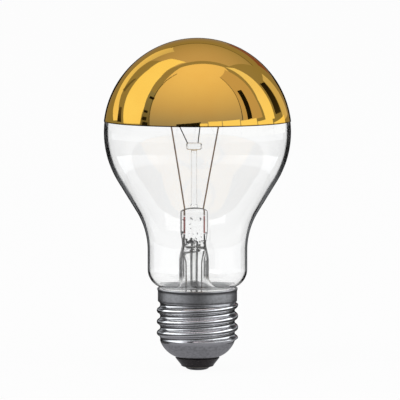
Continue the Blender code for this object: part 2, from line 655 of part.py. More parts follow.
def build_leads(nickel, copper, dumet):
    """Run each lead from its contact through the seal in the pinch to the filament."""
    exit_z = PINCH_TOP_Z - PINCH_DOME / 2.0 + FUSE_GAP
    bend_z = CAVITY_TOP_Z - FUSE_GAP
    tube_z = STEM_TOP_Z - FUSE_GAP
    for side, name in ((-1.0, "left"), (1.0, "right")):
        inner = [
            on_mount(side * LEAD_SPACING, 0.0, SEAL_TOP_Z + JOINT_GAP),
            on_mount(side * LEAD_SPACING, 0.0, exit_z),
            on_mount(side * LEAD_SPREAD, 0.0, FILAMENT_Z - LEAD_RADIUS),
            on_mount(side * LEAD_SPREAD, LEAD_RADIUS, FILAMENT_Z),
            on_mount(side * LEAD_SPREAD, LEAD_HOOK, FILAMENT_Z),
        ]
        wire("inner_lead_" + name, inner, LEAD_RADIUS, nickel)
        seal = [
            on_mount(side * LEAD_SPACING, 0.0, SEAL_TOP_Z),
            on_mount(side * LEAD_SPACING, 0.0, SEAL_BASE_Z),
        ]
        wire("seal_wire_" + name, seal, SEAL_RADIUS, dumet)
    for side, name in ((-1.0, "centre"), (1.0, "side")):
        outer = [
            on_mount(side * LEAD_SPACING, 0.0, SEAL_BASE_Z - JOINT_GAP),
            on_mount(side * LEAD_SPACING, 0.0, bend_z),
            on_mount(side * OUTER_LEAD_SPACING, 0.0, tube_z),
        ]
        if name == "centre":
            outer += [
                on_mount(side * OUTER_LEAD_SPACING, 0.0, EXHAUST_TIP_Z + EXHAUST_RADIUS),
                Vector((0.0, 0.0, INSULATOR_TOP_Z + EXHAUST_RADIUS)),
                Vector((0.0, 0.0, PLATE_BASE_Z + PLATE_THICKNESS / 2.0)),
            ]
        else:
            under_rim = THREAD_ROOT_RADIUS - SHEET - FUSE_GAP
            in_slot = SKIRT_RADIUS + CEMENT_GAP + CEMENT_THICKNESS / 2.0
            outer += [
                on_mount(side * OUTER_LEAD_SPACING, 0.0, SKIRT_END_Z),
                around_axis(under_rim - SKIRT_FILLET, SIDE_SOLDER_ANGLE, THREAD_TOP_Z - FUSE_GAP),
                around_axis(under_rim, SIDE_SOLDER_ANGLE, THREAD_TOP_Z),
                around_axis(in_slot, SIDE_SOLDER_ANGLE, SKIRT_END_Z + FUSE_GAP),
                around_axis(in_slot, SIDE_SOLDER_ANGLE, SKIRT_TOP_Z + FUSE_GAP),
            ]
        wire("outer_lead_" + name, outer, OUTER_LEAD_RADIUS, copper)


def build_filament(tungsten):
    """Coil the filament along a half circle between the hooks of the inner leads."""
    start = math.asin((LEAD_HOOK + JOINT_GAP) / LEAD_SPREAD)
    count = COIL_TURNS * COIL_POINTS_PER_TURN
    points = []
    for index in range(count + 1):
        share = index / count
        angle = blend(start, math.pi - start, share)
        turn = math.tau * COIL_TURNS * share
        swell = min(share, 1.0 - share) * COIL_TURNS
        coil = COIL_RADIUS * smooth_step(swell)
        place = around_axis(LEAD_SPREAD + coil * math.cos(turn), angle, FILAMENT_Z + coil * math.sin(turn))
        points.append(on_mount(*place))
    wire("filament", points, FILAMENT_WIRE_RADIUS, tungsten, resolution=0)


def main():
    """Build the lamp from its cap to its crown."""
    clear_scene()
    glass = make_material("clear_glass", (0.94, 0.97, 0.97), 0.02, transmission=1.0)
    stem_glass = make_material("stem_glass", (0.90, 0.93, 0.93), 0.04, transmission=1.0)
    gold = make_material("gold_mirror", (0.84, 0.59, 0.20), 0.05, metallic=1.0)
    metal = make_material("cap_aluminium", (0.60, 0.61, 0.62), 0.28, metallic=1.0)
    black_glass = make_material("black_glass", (0.012, 0.012, 0.014), 0.15)
    cement = make_material("cap_cement", (0.66, 0.62, 0.54), 0.9)
    brass = make_material("contact_brass", (0.62, 0.52, 0.34), 0.35, metallic=1.0)
    solder = make_material("solder", (0.42, 0.43, 0.45), 0.4, metallic=1.0)
    nickel = make_material("lead_wire", (0.42, 0.31, 0.22), 0.35, metallic=1.0)
    copper = make_material("outer_lead_wire", (0.45, 0.36, 0.30), 0.35, metallic=1.0)
    dumet = make_material("seal_wire", (0.55, 0.13, 0.09), 0.4, metallic=0.6)
    molybdenum = make_material("support_wire", (0.20, 0.19, 0.19), 0.4, metallic=1.0)
    tungsten = make_material("filament_wire", (0.24, 0.24, 0.25), 0.45, metallic=1.0)
    build_cap_shell(metal)
    build_insulator(black_glass)
    build_contact(brass, solder)
    build_side_solder(solder)
    build_cement(cement)
    build_envelope(glass)
    build_mirror(gold)
    build_stem(stem_glass)
    build_exhaust_tube(stem_glass)
    build_arbor(stem_glass, molybdenum)
    build_leads(nickel, copper, dumet)
    build_filament(tungsten)


main()
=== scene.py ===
"""Looks of the crown mirror bulb: fine glass, gold mirror, stem, wires and screw cap."""

import logging
import math
from dataclasses import dataclass
from enum import Enum
from typing import Callable, Sequence

import bpy
from mathutils import Matrix, Vector


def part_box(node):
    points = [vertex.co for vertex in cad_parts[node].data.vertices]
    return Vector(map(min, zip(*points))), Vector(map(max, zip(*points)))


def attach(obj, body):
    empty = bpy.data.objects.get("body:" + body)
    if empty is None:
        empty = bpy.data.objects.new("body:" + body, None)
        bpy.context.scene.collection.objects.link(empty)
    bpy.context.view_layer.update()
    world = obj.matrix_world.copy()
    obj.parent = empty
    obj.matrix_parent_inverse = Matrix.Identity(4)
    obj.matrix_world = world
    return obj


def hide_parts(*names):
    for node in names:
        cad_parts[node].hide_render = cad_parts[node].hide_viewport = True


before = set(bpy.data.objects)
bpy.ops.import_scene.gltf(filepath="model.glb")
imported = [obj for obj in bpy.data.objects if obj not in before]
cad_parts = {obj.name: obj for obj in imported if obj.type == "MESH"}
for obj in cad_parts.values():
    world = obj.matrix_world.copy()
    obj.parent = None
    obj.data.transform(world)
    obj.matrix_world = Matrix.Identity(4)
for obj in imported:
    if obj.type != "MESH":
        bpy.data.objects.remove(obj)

LOG = logging.getLogger("crown_mirror_bulb")
MM = 0.001
Point = tuple[float, float, float]


class Slot(Enum):
    """The record's material slots that the pieces take their finish from."""

    CLEAR_GLASS = "clear_glass"
    GOLD_MIRROR = "gold_mirror"
    STEM_GLASS = "stem_glass"
    INNER_LEAD = "inner_lead"
    SEAL_WIRE = "seal_wire"
    OUTER_LEAD = "outer_lead"
    SUPPORT_WIRE = "support_wire"
    FILAMENT = "filament"
    CAP_METAL = "cap_metal"
    CEMENT = "cement"
    BLACK_GLASS = "black_glass"
    CONTACT_METAL = "contact_metal"
    SOLDER = "solder"


class Side(Enum):
    """The two sides of the mount, as the viewer sees them."""

    LEFT = -1.0
    RIGHT = 1.0


def smooth_step(share: float) -> float:
    """Ease a share between 0 and 1.

    Args:
        share: The plain share, which may lie outside 0 to 1.

    Returns:
        The eased share.
    """
    share = min(1.0, max(0.0, share))
    return share * share * (3.0 - 2.0 * share)


def blend(start: float, end: float, share: float) -> float:
    """Return the value a share of the way from start to end."""
    return start + (end - start) * share


# Materials


class NodePaper:
    """A material's node tree, with short calls for the nodes that the finishes share."""

    def __init__(self, name: str) -> None:
        """Make the material and keep its Principled shader.

        Args:
            name: The material's name.
        """
        self.material = bpy.data.materials.new(name)
        self.material.use_nodes = True
        self.tree = self.material.node_tree
        self.shader = self.tree.nodes["Principled BSDF"]
        coordinates = self.tree.nodes.new("ShaderNodeTexCoord")
        self.place = coordinates.outputs["Object"]

    def link(self, source: bpy.types.NodeSocket, target: bpy.types.NodeSocket) -> None:
        """Link two sockets."""
        self.tree.links.new(source, target)

    def set(self, **values: object) -> None:
        """Set constants on the Principled shader's own sockets, with _ for a space."""
        for name, value in values.items():
            self.shader.inputs[name.replace("_", " ")].default_value = value

    def scaled_place(self, scale: Point) -> bpy.types.NodeSocket:
        """Return the object's coordinates times a scale.

        Args:
            scale: Repeats per metre along X, Y and Z.

        Returns:
            The vector socket.
        """
        mapping = self.tree.nodes.new("ShaderNodeMapping")
        mapping.inputs["Scale"].default_value = scale
        self.link(self.place, mapping.inputs["Vector"])
        return mapping.outputs["Vector"]

    def noise(self, scale: Point, detail: float = 3.0, roughness: float = 0.5) -> bpy.types.NodeSocket:
        """Return a noise value.

        Args:
            scale: Noise cells per metre along X, Y and Z.
            detail: How many octaves the noise has.
            roughness: How strong the finer octaves are.

        Returns:
            The noise socket, from 0 to 1.
        """
        node = self.tree.nodes.new("ShaderNodeTexNoise")
        node.inputs["Scale"].default_value = 1.0
        node.inputs["Detail"].default_value = detail
        node.inputs["Roughness"].default_value = roughness
        self.link(self.scaled_place(scale), node.inputs["Vector"])
        return node.outputs["Fac"]

    def ramp(self, source: bpy.types.NodeSocket, stops: Sequence[tuple[float, Point]]) -> bpy.types.NodeSocket:
        """Return a colour ramp read at a value.

        Args:
            source: The value from 0 to 1.
            stops: Each stop's position and colour.

        Returns:
            The colour socket.
        """
        node = self.tree.nodes.new("ShaderNodeValToRGB")
        elements = node.color_ramp.elements
        while len(elements) < len(stops):
            elements.new(0.5)
        for element, (position, colour) in zip(elements, stops):
            element.position = position
            element.color = (*colour, 1.0)
        self.link(source, node.inputs["Fac"])
        return node.outputs["Color"]

    def ranged(self, source: bpy.types.NodeSocket, low: float, high: float, to_low: float, to_high: float) -> bpy.types.NodeSocket:
        """Return a value mapped from one range to another, clamped.

        Args:
            source: The value.
            low: Where the source range starts.
            high: Where the source range ends.
            to_low: The result at low.
            to_high: The result at high.

        Returns:
            The mapped socket.
        """
        node = self.tree.nodes.new("ShaderNodeMapRange")
        node.interpolation_type = "SMOOTHSTEP"
        for name, value in (("From Min", low), ("From Max", high), ("To Min", to_low), ("To Max", to_high)):
            node.inputs[name].default_value = value
        self.link(source, node.inputs["Value"])
        return node.outputs["Result"]

    def mixed(self, share: bpy.types.NodeSocket, first: object, second: object) -> bpy.types.NodeSocket:
        """Return two colours mixed by a share.

        Args:
            share: The socket that says how much of the second shows.
            first: A colour or a socket.
            second: A colour or a socket.

        Returns:
            The colour socket.
        """
        node = self.tree.nodes.new("ShaderNodeMix")
        node.data_type = "RGBA"
        self.link(share, node.inputs["Factor"])
        for socket, value in ((node.inputs[6], first), (node.inputs[7], second)):
            if isinstance(value, tuple):
                socket.default_value = (*value, 1.0)
            else:
                self.link(value, socket)
        return node.outputs[2]

    def height(self) -> bpy.types.NodeSocket:
        """Return the height above the tip in metres."""
        node = self.tree.nodes.new("ShaderNodeSeparateXYZ")
        self.link(self.place, node.inputs["Vector"])
        return node.outputs["Z"]

    def radius(self) -> bpy.types.NodeSocket:
        """Return the distance from the lamp's axis in metres."""
        flat = self.scaled_place((1.0, 1.0, 0.0))
        node = self.tree.nodes.new("ShaderNodeVectorMath")
        node.operation = "LENGTH"
        self.link(flat, node.inputs[0])
        return node.outputs["Value"]

    def bump(self, source: bpy.types.NodeSocket, depth: float, strength: float) -> None:
        """Raise the surface by a value.

        Args:
            source: The height value from 0 to 1.
            depth: The height of 1 in metres.
            strength: How much of the bump shows.
        """
        node = self.tree.nodes.new("ShaderNodeBump")
        node.inputs["Strength"].default_value = strength
        node.inputs["Distance"].default_value = depth
        self.link(source, node.inputs["Height"])
        self.link(node.outputs["Normal"], self.shader.inputs["Normal"])


@dataclass(frozen=True)
class ClearGlass:
    """Clear soda glass whose steep edges take a painted dark reflection, as of dark surroundings against a bright
    field.
    """

    name: str = "clear blown glass"
    tint: Point = (0.997, 0.999, 0.998)
    # edge: the painted dark reflection that the steep edges take, set in place by the edge and inner thresholds and
    # heights; the pressed part's spots take it too.
    edge: Point = (0.003, 0.003, 0.003)
    painted_edge_start: float = 0.66
    painted_edge_end: float = 0.73
    painted_inner_edge_start: float = 0.78
    painted_inner_edge_end: float = 0.85
    inner_base_z: float = 58.0 * MM
    inner_full_z: float = 76.0 * MM
    clear_z: float = 27.0 * MM
    ripple: float = 55.0
    ripple_depth: float = 0.00003
    speckle_low: float = 0.0
    speckle_high: float = 0.0
    ior: float = 1.5

    def multiplied(self, paper: NodePaper, first: bpy.types.NodeSocket, second: bpy.types.NodeSocket) -> bpy.types.NodeSocket:
        """Return two values multiplied."""
        node = paper.tree.nodes.new("ShaderNodeMath")
        node.operation = "MULTIPLY"
        paper.link(first, node.inputs[0])
        paper.link(second, node.inputs[1])
        return node.outputs[0]

    def painted_edge_shade_share(self, paper: NodePaper) -> bpy.types.NodeSocket:
        """Return the share of painted dark reflection for the glass's slope, less on the wall's inner face.

        Args:
            paper: The material's node tree.

        Returns:
            The share of the edge's painted dark colour.
        """
        weight = paper.tree.nodes.new("ShaderNodeLayerWeight")
        weight.inputs["Blend"].default_value = 0.5
        facing = weight.outputs["Facing"]
        outer = paper.ranged(facing, self.painted_edge_start, self.painted_edge_end, 0.0, 1.0)
        inner = paper.ranged(facing, self.painted_inner_edge_start, self.painted_inner_edge_end, 0.0, 1.0)
        inner = self.multiplied(paper, inner, paper.ranged(paper.height(), self.inner_base_z, self.inner_full_z, 0.0, 1.0))
        side = paper.tree.nodes.new("ShaderNodeAttribute")
        side.attribute_name = "inner_face"
        pick_side = paper.tree.nodes.new("ShaderNodeMix")
        paper.link(side.outputs["Fac"], pick_side.inputs["Factor"])
        paper.link(outer, pick_side.inputs[2])
        paper.link(inner, pick_side.inputs[3])
        # Below clear_z the painted dark reflection keeps only 0.15 of its share.
        return self.multiplied(paper, pick_side.outputs[0], paper.ranged(paper.height(), self.clear_z, self.clear_z + 2.5 * MM, 0.15, 1.0))

    def make(self) -> bpy.types.Material:
        """Return the material."""
        paper = NodePaper(self.name)
        paper.set(Transmission_Weight=1.0, IOR=self.ior, Metallic=0.0)
        cloud = paper.noise((self.ripple, self.ripple, self.ripple * 0.4), 2.0)
        body = paper.mixed(paper.ranged(cloud, 0.3, 0.7, 0.0, 1.0), self.tint, tuple(c * 0.99 for c in self.tint))
        if self.speckle_high > self.speckle_low:
            low = paper.ranged(paper.height(), self.speckle_low, self.speckle_low + 1.0 * MM, 0.0, 1.0)
            high = paper.ranged(paper.height(), self.speckle_low + 2.0 * MM, self.speckle_high, 1.07, 0.88)
            blots = self.multiplied(paper, paper.noise((620.0, 620.0, 520.0), 4.0, 0.65), self.multiplied(paper, low, high))
            spots = paper.ranged(blots, 0.56, 0.59, 0.0, 1.0)
            body = paper.mixed(spots, body, self.edge)
        # Painted dark reflection: the steep edges take the edge's colour.
        paper.link(paper.mixed(self.painted_edge_shade_share(paper), body, self.edge), paper.shader.inputs["Base Color"])
        paper.link(paper.ranged(cloud, 0.2, 0.8, 0.0, 0.012), paper.shader.inputs["Roughness"])
        paper.bump(cloud, self.ripple_depth, 0.35)
        return paper.material


@dataclass(frozen=True)
class GoldMirror:
    """A bright gold mirror coat with a thin brown line along its rim."""

    name: str = "gold mirror coat"
    bright: Point = (0.970, 0.600, 0.112)
    deep: Point = (0.955, 0.575, 0.104)
    rim_colour: Point = (0.060, 0.030, 0.010)
    rim_z: float = 79.8 * MM
    rim_width: float = 0.40 * MM

    def make(self) -> bpy.types.Material:
        """Return the material."""
        paper = NodePaper(self.name)
        paper.set(Metallic=1.0, Specular_Tint=(1.0, 0.80, 0.50, 1.0))
        cloud = paper.noise((90.0, 90.0, 90.0), 3.0)
        body = paper.mixed(paper.ranged(cloud, 0.35, 0.65, 0.0, 1.0), self.bright, self.deep)
        line = paper.ranged(paper.height(), self.rim_z + self.rim_width * 0.6, self.rim_z + self.rim_width, 1.0, 0.0)
        paper.link(paper.mixed(line, body, self.rim_colour), paper.shader.inputs["Base Color"])
        paper.link(paper.ranged(cloud, 0.3, 0.7, 0.02, 0.055), paper.shader.inputs["Roughness"])
        paper.bump(paper.noise((260.0, 260.0, 260.0), 2.0), 0.000004, 0.3)
        return paper.material


@dataclass(frozen=True)
class CapMetal:
    """Thin drawn aluminium sheet: bright crests, roots painted darker as shade in the thread's hollows, collar and
    shoulder painted darker as shade, fine drawing lines and smudges.
    """

    name: str = "rolled cap sheet"
    crest: Point = (0.93, 0.93, 0.94)
    # root, collar and shoulder are darker copies of the crest's colour: painted shade.
    root: Point = (0.72, 0.72, 0.73)
    spot: Point = (0.25, 0.25, 0.25)
    collar: Point = (0.48, 0.48, 0.49)
    shoulder: Point = (0.61, 0.61, 0.62)
    root_radius: float = 12.05 * MM
    crest_radius: float = 12.75 * MM
    smooth: float = 0.09
    dull: float = 0.18
    satin: float = 0.33
    collar_z: float = 22.2 * MM
    shoulder_z: float = 9.4 * MM

    def make(self) -> bpy.types.Material:
        """Return the material."""
        paper = NodePaper(self.name)
        paper.set(Metallic=1.0)
        lines = paper.noise((160.0, 160.0, 5200.0), 3.0, 0.6)
        on_collar = paper.ranged(paper.height(), self.collar_z - 0.4 * MM, self.collar_z, 0.0, 1.0)
        on_shoulder = paper.ranged(paper.height(), self.shoulder_z - 0.8 * MM, self.shoulder_z, 1.0, 0.0)
        smudge = paper.noise((140.0, 140.0, 220.0), 4.0, 0.6)
        # Painted shade: the sheet darkens from the crest's colour to the root's towards the axis, and the collar and
        # shoulder take their darker copies.
        high = paper.ranged(paper.radius(), self.root_radius, self.crest_radius, 0.0, 1.0)
        sheet = paper.mixed(high, self.root, self.crest)
        sheet = paper.mixed(on_collar, sheet, self.collar)
        sheet = paper.mixed(on_shoulder, sheet, self.shoulder)
        speckle = paper.noise((1100.0, 1100.0, 1400.0), 3.0, 0.7)
        plain = paper.tree.nodes.new("ShaderNodeMath")
        plain.operation = "MAXIMUM"
        paper.link(on_collar, plain.inputs[0])
        paper.link(on_shoulder, plain.inputs[1])
        mottled = paper.mixed(paper.ranged(speckle, 0.38, 0.68, 0.0, 0.5), sheet, self.spot)
        sheet = paper.mixed(plain.outputs[0], sheet, mottled)
        worn = paper.mixed(paper.ranged(smudge, 0.5, 0.8, 0.0, 0.35), sheet, self.spot)
        paper.link(paper.mixed(paper.ranged(lines, 0.4, 0.8, 0.0, 0.25), worn, self.spot), paper.shader.inputs["Base Color"])
        rough = paper.ranged(smudge, 0.25, 0.75, self.smooth, self.dull)
        for share in (on_collar, on_shoulder):
            spread = paper.tree.nodes.new("ShaderNodeMapRange")
            paper.link(share, spread.inputs["Value"])
            paper.link(rough, spread.inputs["To Min"])
            spread.inputs["To Max"].default_value = self.satin
            rough = spread.outputs["Result"]
        paper.link(rough, paper.shader.inputs["Roughness"])
        paper.bump(lines, 0.000012, 0.35)
        return paper.material


@dataclass(frozen=True)
class BlackGlass:
    """Moulded black glass with small pits and a soft gloss."""

    name: str = "moulded black glass"
    black: Point = (0.014, 0.010, 0.010)
    grey: Point = (0.026, 0.020, 0.020)

    def make(self) -> bpy.types.Material:
        """Return the material."""
        paper = NodePaper(self.name)
        paper.set(IOR=1.52)
        cloud = paper.noise((700.0, 700.0, 700.0), 4.0, 0.6)
        paper.link(paper.mixed(paper.ranged(cloud, 0.4, 0.8, 0.0, 1.0), self.black, self.grey), paper.shader.inputs["Base Color"])
        paper.link(paper.ranged(cloud, 0.3, 0.8, 0.10, 0.30), paper.shader.inputs["Roughness"])
        paper.bump(paper.noise((1500.0, 1500.0, 1500.0), 3.0), 0.00003, 0.4)
        return paper.material


@dataclass(frozen=True)
class CapCement:
    """Baked capping cement: matte, grainy and slightly mottled."""

    name: str = "capping cement"
    pale: Point = (0.93, 0.94, 0.95)
    brown: Point = (0.80, 0.81, 0.82)

    def make(self) -> bpy.types.Material:
        """Return the material."""
        paper = NodePaper(self.name)
        grain = paper.noise((2200.0, 2200.0, 2200.0), 5.0, 0.7)
        paper.link(paper.ramp(grain, ((0.3, self.brown), (0.65, self.pale))), paper.shader.inputs["Base Color"])
        paper.link(paper.ranged(grain, 0.2, 0.8, 0.75, 0.95), paper.shader.inputs["Roughness"])
        paper.bump(grain, 0.00008, 0.7)
        return paper.material


@dataclass(frozen=True)
class DullMetal:
    """A metal with an uneven skin, such as solder, brass plate or drawn wire."""

    name: str
    light: Point
    dark: Point
    smooth: float
    dull: float
    grain: Point
    relief: float
    metallic: float = 1.0

    def make(self) -> bpy.types.Material:
        """Return the material."""
        paper = NodePaper(self.name)
        paper.set(Metallic=self.metallic)
        grain = paper.noise(self.grain, 4.0, 0.6)
        paper.link(paper.ramp(grain, ((0.32, self.dark), (0.68, self.light))), paper.shader.inputs["Base Color"])
        paper.link(paper.ranged(grain, 0.25, 0.75, self.smooth, self.dull), paper.shader.inputs["Roughness"])
        paper.bump(grain, self.relief, 0.5)
        return paper.material


# Modelling helpers


def clear_selection() -> None:
    """Leave edit mode and deselect everything."""
    if bpy.context.object and bpy.context.object.mode != "OBJECT":
        bpy.ops.object.mode_set(mode="OBJECT")
    bpy.ops.object.select_all(action="DESELECT")


def pick(item: bpy.types.Object) -> None:
    """Select one object alone and make it active."""
    clear_selection()
    item.select_set(True)
    bpy.context.view_layer.objects.active = item


def apply_modifier(item: bpy.types.Object, kind: str, **settings: object) -> None:
    """Add a modifier with its settings and apply it.

    Args:
        item: The object to change.
        kind: The modifier's type, such as SOLIDIFY.
        settings: The modifier's own properties.
    """
    pick(item)
    modifier = item.modifiers.new(kind.title(), kind)
    for name, value in settings.items():
        setattr(modifier, name, value)
    bpy.ops.object.modifier_apply(modifier=modifier.name)


def point_out(item: bpy.types.Object) -> None:
    """Merge doubles and make every face of a mesh point out."""
    pick(item)
    bpy.ops.object.mode_set(mode="EDIT")
    bpy.ops.mesh.select_all(action="SELECT")
    bpy.ops.mesh.remove_doubles(threshold=1e-6)
    bpy.ops.mesh.normals_make_consistent(inside=False)
    bpy.ops.object.mode_set(mode="OBJECT")


def smooth(item: bpy.types.Object, degrees: float = 40.0) -> None:
    """Shade a piece smooth, with sharp edges past an angle in degrees."""
    pick(item)
    bpy.ops.object.shade_smooth_by_angle(angle=math.radians(degrees))


def place_piece(item: bpy.types.Object, material: bpy.types.Material, slot: Slot, *nodes: str) -> bpy.types.Object:
    """Dress a finished piece and let it stand for its solids.

    Args:
        item: The piece.
        material: Its finish.
        slot: The record's slot of that finish; not used.
        nodes: The CAD nodes that it stands for.

    Returns:
        The piece.
    """
    pick(item)
    bpy.ops.object.transform_apply(location=True, rotation=True, scale=True)
    item.data.materials.clear()
    item.data.materials.append(material)
    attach(item, "root")
    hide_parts(*nodes)
    LOG.info("%s: %d faces, stands for %s", item.name, len(item.data.polygons), ", ".join(nodes))
    return item


class Section:
    """A half section that is drawn in the XZ plane and spun round the lamp's axis."""

    def __init__(self, name: str, radius: float, height: float) -> None:
        """Start the section at one point.

        Args:
            name: The piece's name.
            radius: The first point's distance from the axis.
            height: The first point's height.
        """
        clear_selection()
        bpy.ops.mesh.primitive_plane_add(size=MM, location=(radius, 0.0, height))
        self.item = bpy.context.object
        self.item.name = name
        bpy.ops.object.transform_apply(location=True, rotation=True, scale=True)
        bpy.ops.object.mode_set(mode="EDIT")
        bpy.ops.mesh.select_mode(type="VERT")
        bpy.ops.mesh.select_all(action="SELECT")
        bpy.ops.mesh.merge(type="CENTER")
        self.tip = Vector((radius, 0.0, height))

    def line_to(self, radius: float, height: float, cuts: int = 1) -> "Section":
        """Extrude the line straight to a point.

        Args:
            radius: The point's distance from the axis.
            height: The point's height.
            cuts: How many equal steps the line has.

        Returns:
            The section.
        """
        target = Vector((radius, 0.0, height))
        step = (target - self.tip) / cuts
        for _ in range(cuts):
            bpy.ops.mesh.extrude_region_move(TRANSFORM_OT_translate={"value": step})
        self.tip = target
        return self

    def ease_to(self, radius: float, height: float, cuts: int) -> "Section":
        """Extrude the line in a soft S to a point.

        Args:
            radius: The point's distance from the axis.
            height: The point's height.
            cuts: How many steps the curve has.

        Returns:
            The section.
        """
        start = self.tip.copy()
        for step in range(1, cuts + 1):
            share = step / cuts
            self.line_to(blend(start.x, radius, smooth_step(share)), blend(start.z, height, share))
        return self

    def arc_about(self, radius: float, height: float, degrees: float, steps: int) -> "Section":
        """Spin the line's tip about a centre.

        Args:
            radius: The centre's distance from the axis.
            height: The centre's height.
            degrees: The sweep, positive from outside towards up.
            steps: How many steps the arc has.

        Returns:
            The section.
        """
        centre = Vector((radius, 0.0, height))
        sweep = math.radians(degrees)
        bpy.ops.mesh.spin(steps=steps, angle=sweep, center=centre, axis=(0.0, 1.0, 0.0))
        self.tip = centre + Matrix.Rotation(-sweep, 3, "Y") @ (self.tip - centre)
        return self

    def spin_round(self, segments: int, sharp: float = 40.0) -> bpy.types.Object:
        """Spin the section once round the axis.

        Args:
            segments: How many steps the turn has.
            sharp: The angle in degrees past which an edge stays sharp.

        Returns:
            The finished object.
        """
        bpy.ops.mesh.select_all(action="SELECT")
        bpy.ops.mesh.spin(steps=segments, angle=math.tau, center=(0.0, 0.0, 0.0), axis=(0.0, 0.0, 1.0))
        bpy.ops.object.mode_set(mode="OBJECT")
        point_out(self.item)
        smooth(self.item, sharp)
        return self.item


def faces_look_out(item: bpy.types.Object) -> bool:
    """Return whether an open turned surface has its faces away from the axis."""
    total = sum(Vector((*face.center.xy, 0.0)).dot(face.normal) * face.area for face in item.data.polygons)
    return total > 0.0


def turn_inside_out(item: bpy.types.Object) -> None:
    """Flip every face of a mesh."""
    pick(item)
    bpy.ops.object.mode_set(mode="EDIT")
    bpy.ops.mesh.select_all(action="SELECT")
    bpy.ops.mesh.flip_normals()
    bpy.ops.object.mode_set(mode="OBJECT")


def give_wall(item: bpy.types.Object, wall: float) -> None:
    """Give an open turned surface a wall on its inner side.

    Args:
        item: The surface, which is the wall's outer face.
        wall: The wall's thickness.
    """
    if not faces_look_out(item):
        turn_inside_out(item)
    apply_modifier(item, "SOLIDIFY", thickness=wall, offset=-1.0, use_even_offset=True, use_rim=True)


def stacked_rings(name: str, sides: int, rings: int, form: Callable[[int, float], Vector]) -> bpy.types.Object:
    """Extrude a disc ring by ring and press every ring to its form.

    Args:
        name: The piece's name.
        sides: How many points a ring has.
        rings: How many rings there are.
        form: Gives a point's place from its ring's number and its angle in the ring.

    Returns:
        The closed piece.
    """
    clear_selection()
    bpy.ops.mesh.primitive_circle_add(vertices=sides, radius=1.0, fill_type="NGON", location=(0.0, 0.0, 0.0))
    item = bpy.context.object
    item.name = name
    bpy.ops.object.mode_set(mode="EDIT")
    bpy.ops.mesh.select_all(action="SELECT")
    for _ in range(rings - 1):
        bpy.ops.mesh.extrude_region_move(TRANSFORM_OT_translate={"value": (0.0, 0.0, 1.0)})
    bpy.ops.object.mode_set(mode="OBJECT")
    for vert in item.data.vertices:
        vert.co = form(round(vert.co.z), math.atan2(vert.co.y, vert.co.x))
    point_out(item)
    smooth(item)
    return item


def rounded_path(points: Sequence[Vector], radius: float, steps: int = 5) -> list[Vector]:
    """Return a path with its corners rounded.

    Args:
        points: The corners of the path.
        radius: How far from a corner its bend starts, at most.
        steps: How many steps a bend has.

    Returns:
        The points of the rounded path.
    """
    path = [Vector(points[0])]
    for before, corner, after in zip(points, points[1:], points[2:]):
        reach_in = min(radius, (corner - before).length * 0.45)
        reach_out = min(radius, (after - corner).length * 0.45)
        start = corner + (before - corner).normalized() * reach_in
        end = corner + (after - corner).normalized() * reach_out
        for step in range(steps + 1):
            share = step / steps
            path.append(start.lerp(corner, share).lerp(corner.lerp(end, share), share))
    path.append(Vector(points[-1]))
    return path


def bend_wire(name: str, path: Sequence[Vector], radius: float, resolution: int = 3) -> bpy.types.Object:
    """Bend a round wire along a path.

    Args:
        name: The wire's name.
        path: The points of its centreline.
        radius: Its radius.
        resolution: The bevel's resolution.

    Returns:
        The wire as a mesh.
    """
    clear_selection()
    bpy.ops.curve.primitive_nurbs_path_add(location=(0.0, 0.0, 0.0))
    item = bpy.context.object
    item.name = name
    curve = item.data
    curve.splines.clear()
    spline = curve.splines.new("POLY")
    spline.points.add(len(path) - 1)
    for target, point in zip(spline.points, path):
        target.co = (*point, 1.0)
    curve.dimensions = "3D"
    curve.bevel_depth = radius
    curve.bevel_resolution = resolution
    curve.use_fill_caps = True
    bpy.ops.object.convert(target="MESH")
    item = bpy.context.object
    point_out(item)
    smooth(item, 50.0)
    return item


# The lamp's sub-assemblies


@dataclass
class GlassBulb:
    """The clear blown bulb, from the crown down to the skirt inside the cap."""

    ball: float = 30.0 * MM
    wall: float = 0.7 * MM
    crown_z: float = 76.64 * MM
    flank_lean: float = 31.6
    flank_fillet: float = 24.0 * MM
    neck: float = 16.0 * MM
    neck_top_z: float = 38.6 * MM
    bend: float = 6.0 * MM
    bend_z: float = 32.5 * MM
    skirt: float = 11.2 * MM
    skirt_fillet: float = 1.2 * MM
    skirt_end_z: float = 22.7 * MM
    segments: int = 160

    def build(self) -> bpy.types.Object:
        """Draw the meridian, spin it and give it its wall.

        Returns:
            The dressed bulb.
        """
        lean = math.radians(self.flank_lean)
        bend_r = self.neck - self.bend
        reach = self.bend + self.skirt_fillet
        sweep = math.degrees(math.acos((self.skirt + self.skirt_fillet - bend_r) / reach))
        skirt_top = self.bend_z - reach * math.sin(math.radians(sweep))
        fillet_r = self.neck + self.flank_fillet
        section = Section("bulb_glass", 0.0, self.crown_z + self.ball)
        section.arc_about(0.0, self.crown_z, -90.0 - self.flank_lean, 80)
        section.line_to(
            fillet_r - self.flank_fillet * math.cos(lean),
            self.neck_top_z + self.flank_fillet * math.sin(lean),
            6,
        )
        section.arc_about(fillet_r, self.neck_top_z, self.flank_lean, 18)
        section.line_to(self.neck, self.bend_z, 4)
        section.arc_about(bend_r, self.bend_z, -sweep, 22)
        section.arc_about(self.skirt + self.skirt_fillet, skirt_top, sweep, 10)
        section.line_to(self.skirt, self.skirt_end_z, 3)
        item = section.spin_round(self.segments)
        give_wall(item, self.wall)
        smooth(item, 50.0)
        inner_face = item.data.attributes.new("inner_face", "FLOAT", "FACE")
        for face, mark in zip(item.data.polygons, inner_face.data):
            mark.value = 1.0 if face.center.xy.dot(face.normal.xy) < 0.0 else 0.0
        item.visible_shadow = False
        return place_piece(item, ClearGlass().make(), Slot.CLEAR_GLASS, "glass_envelope")


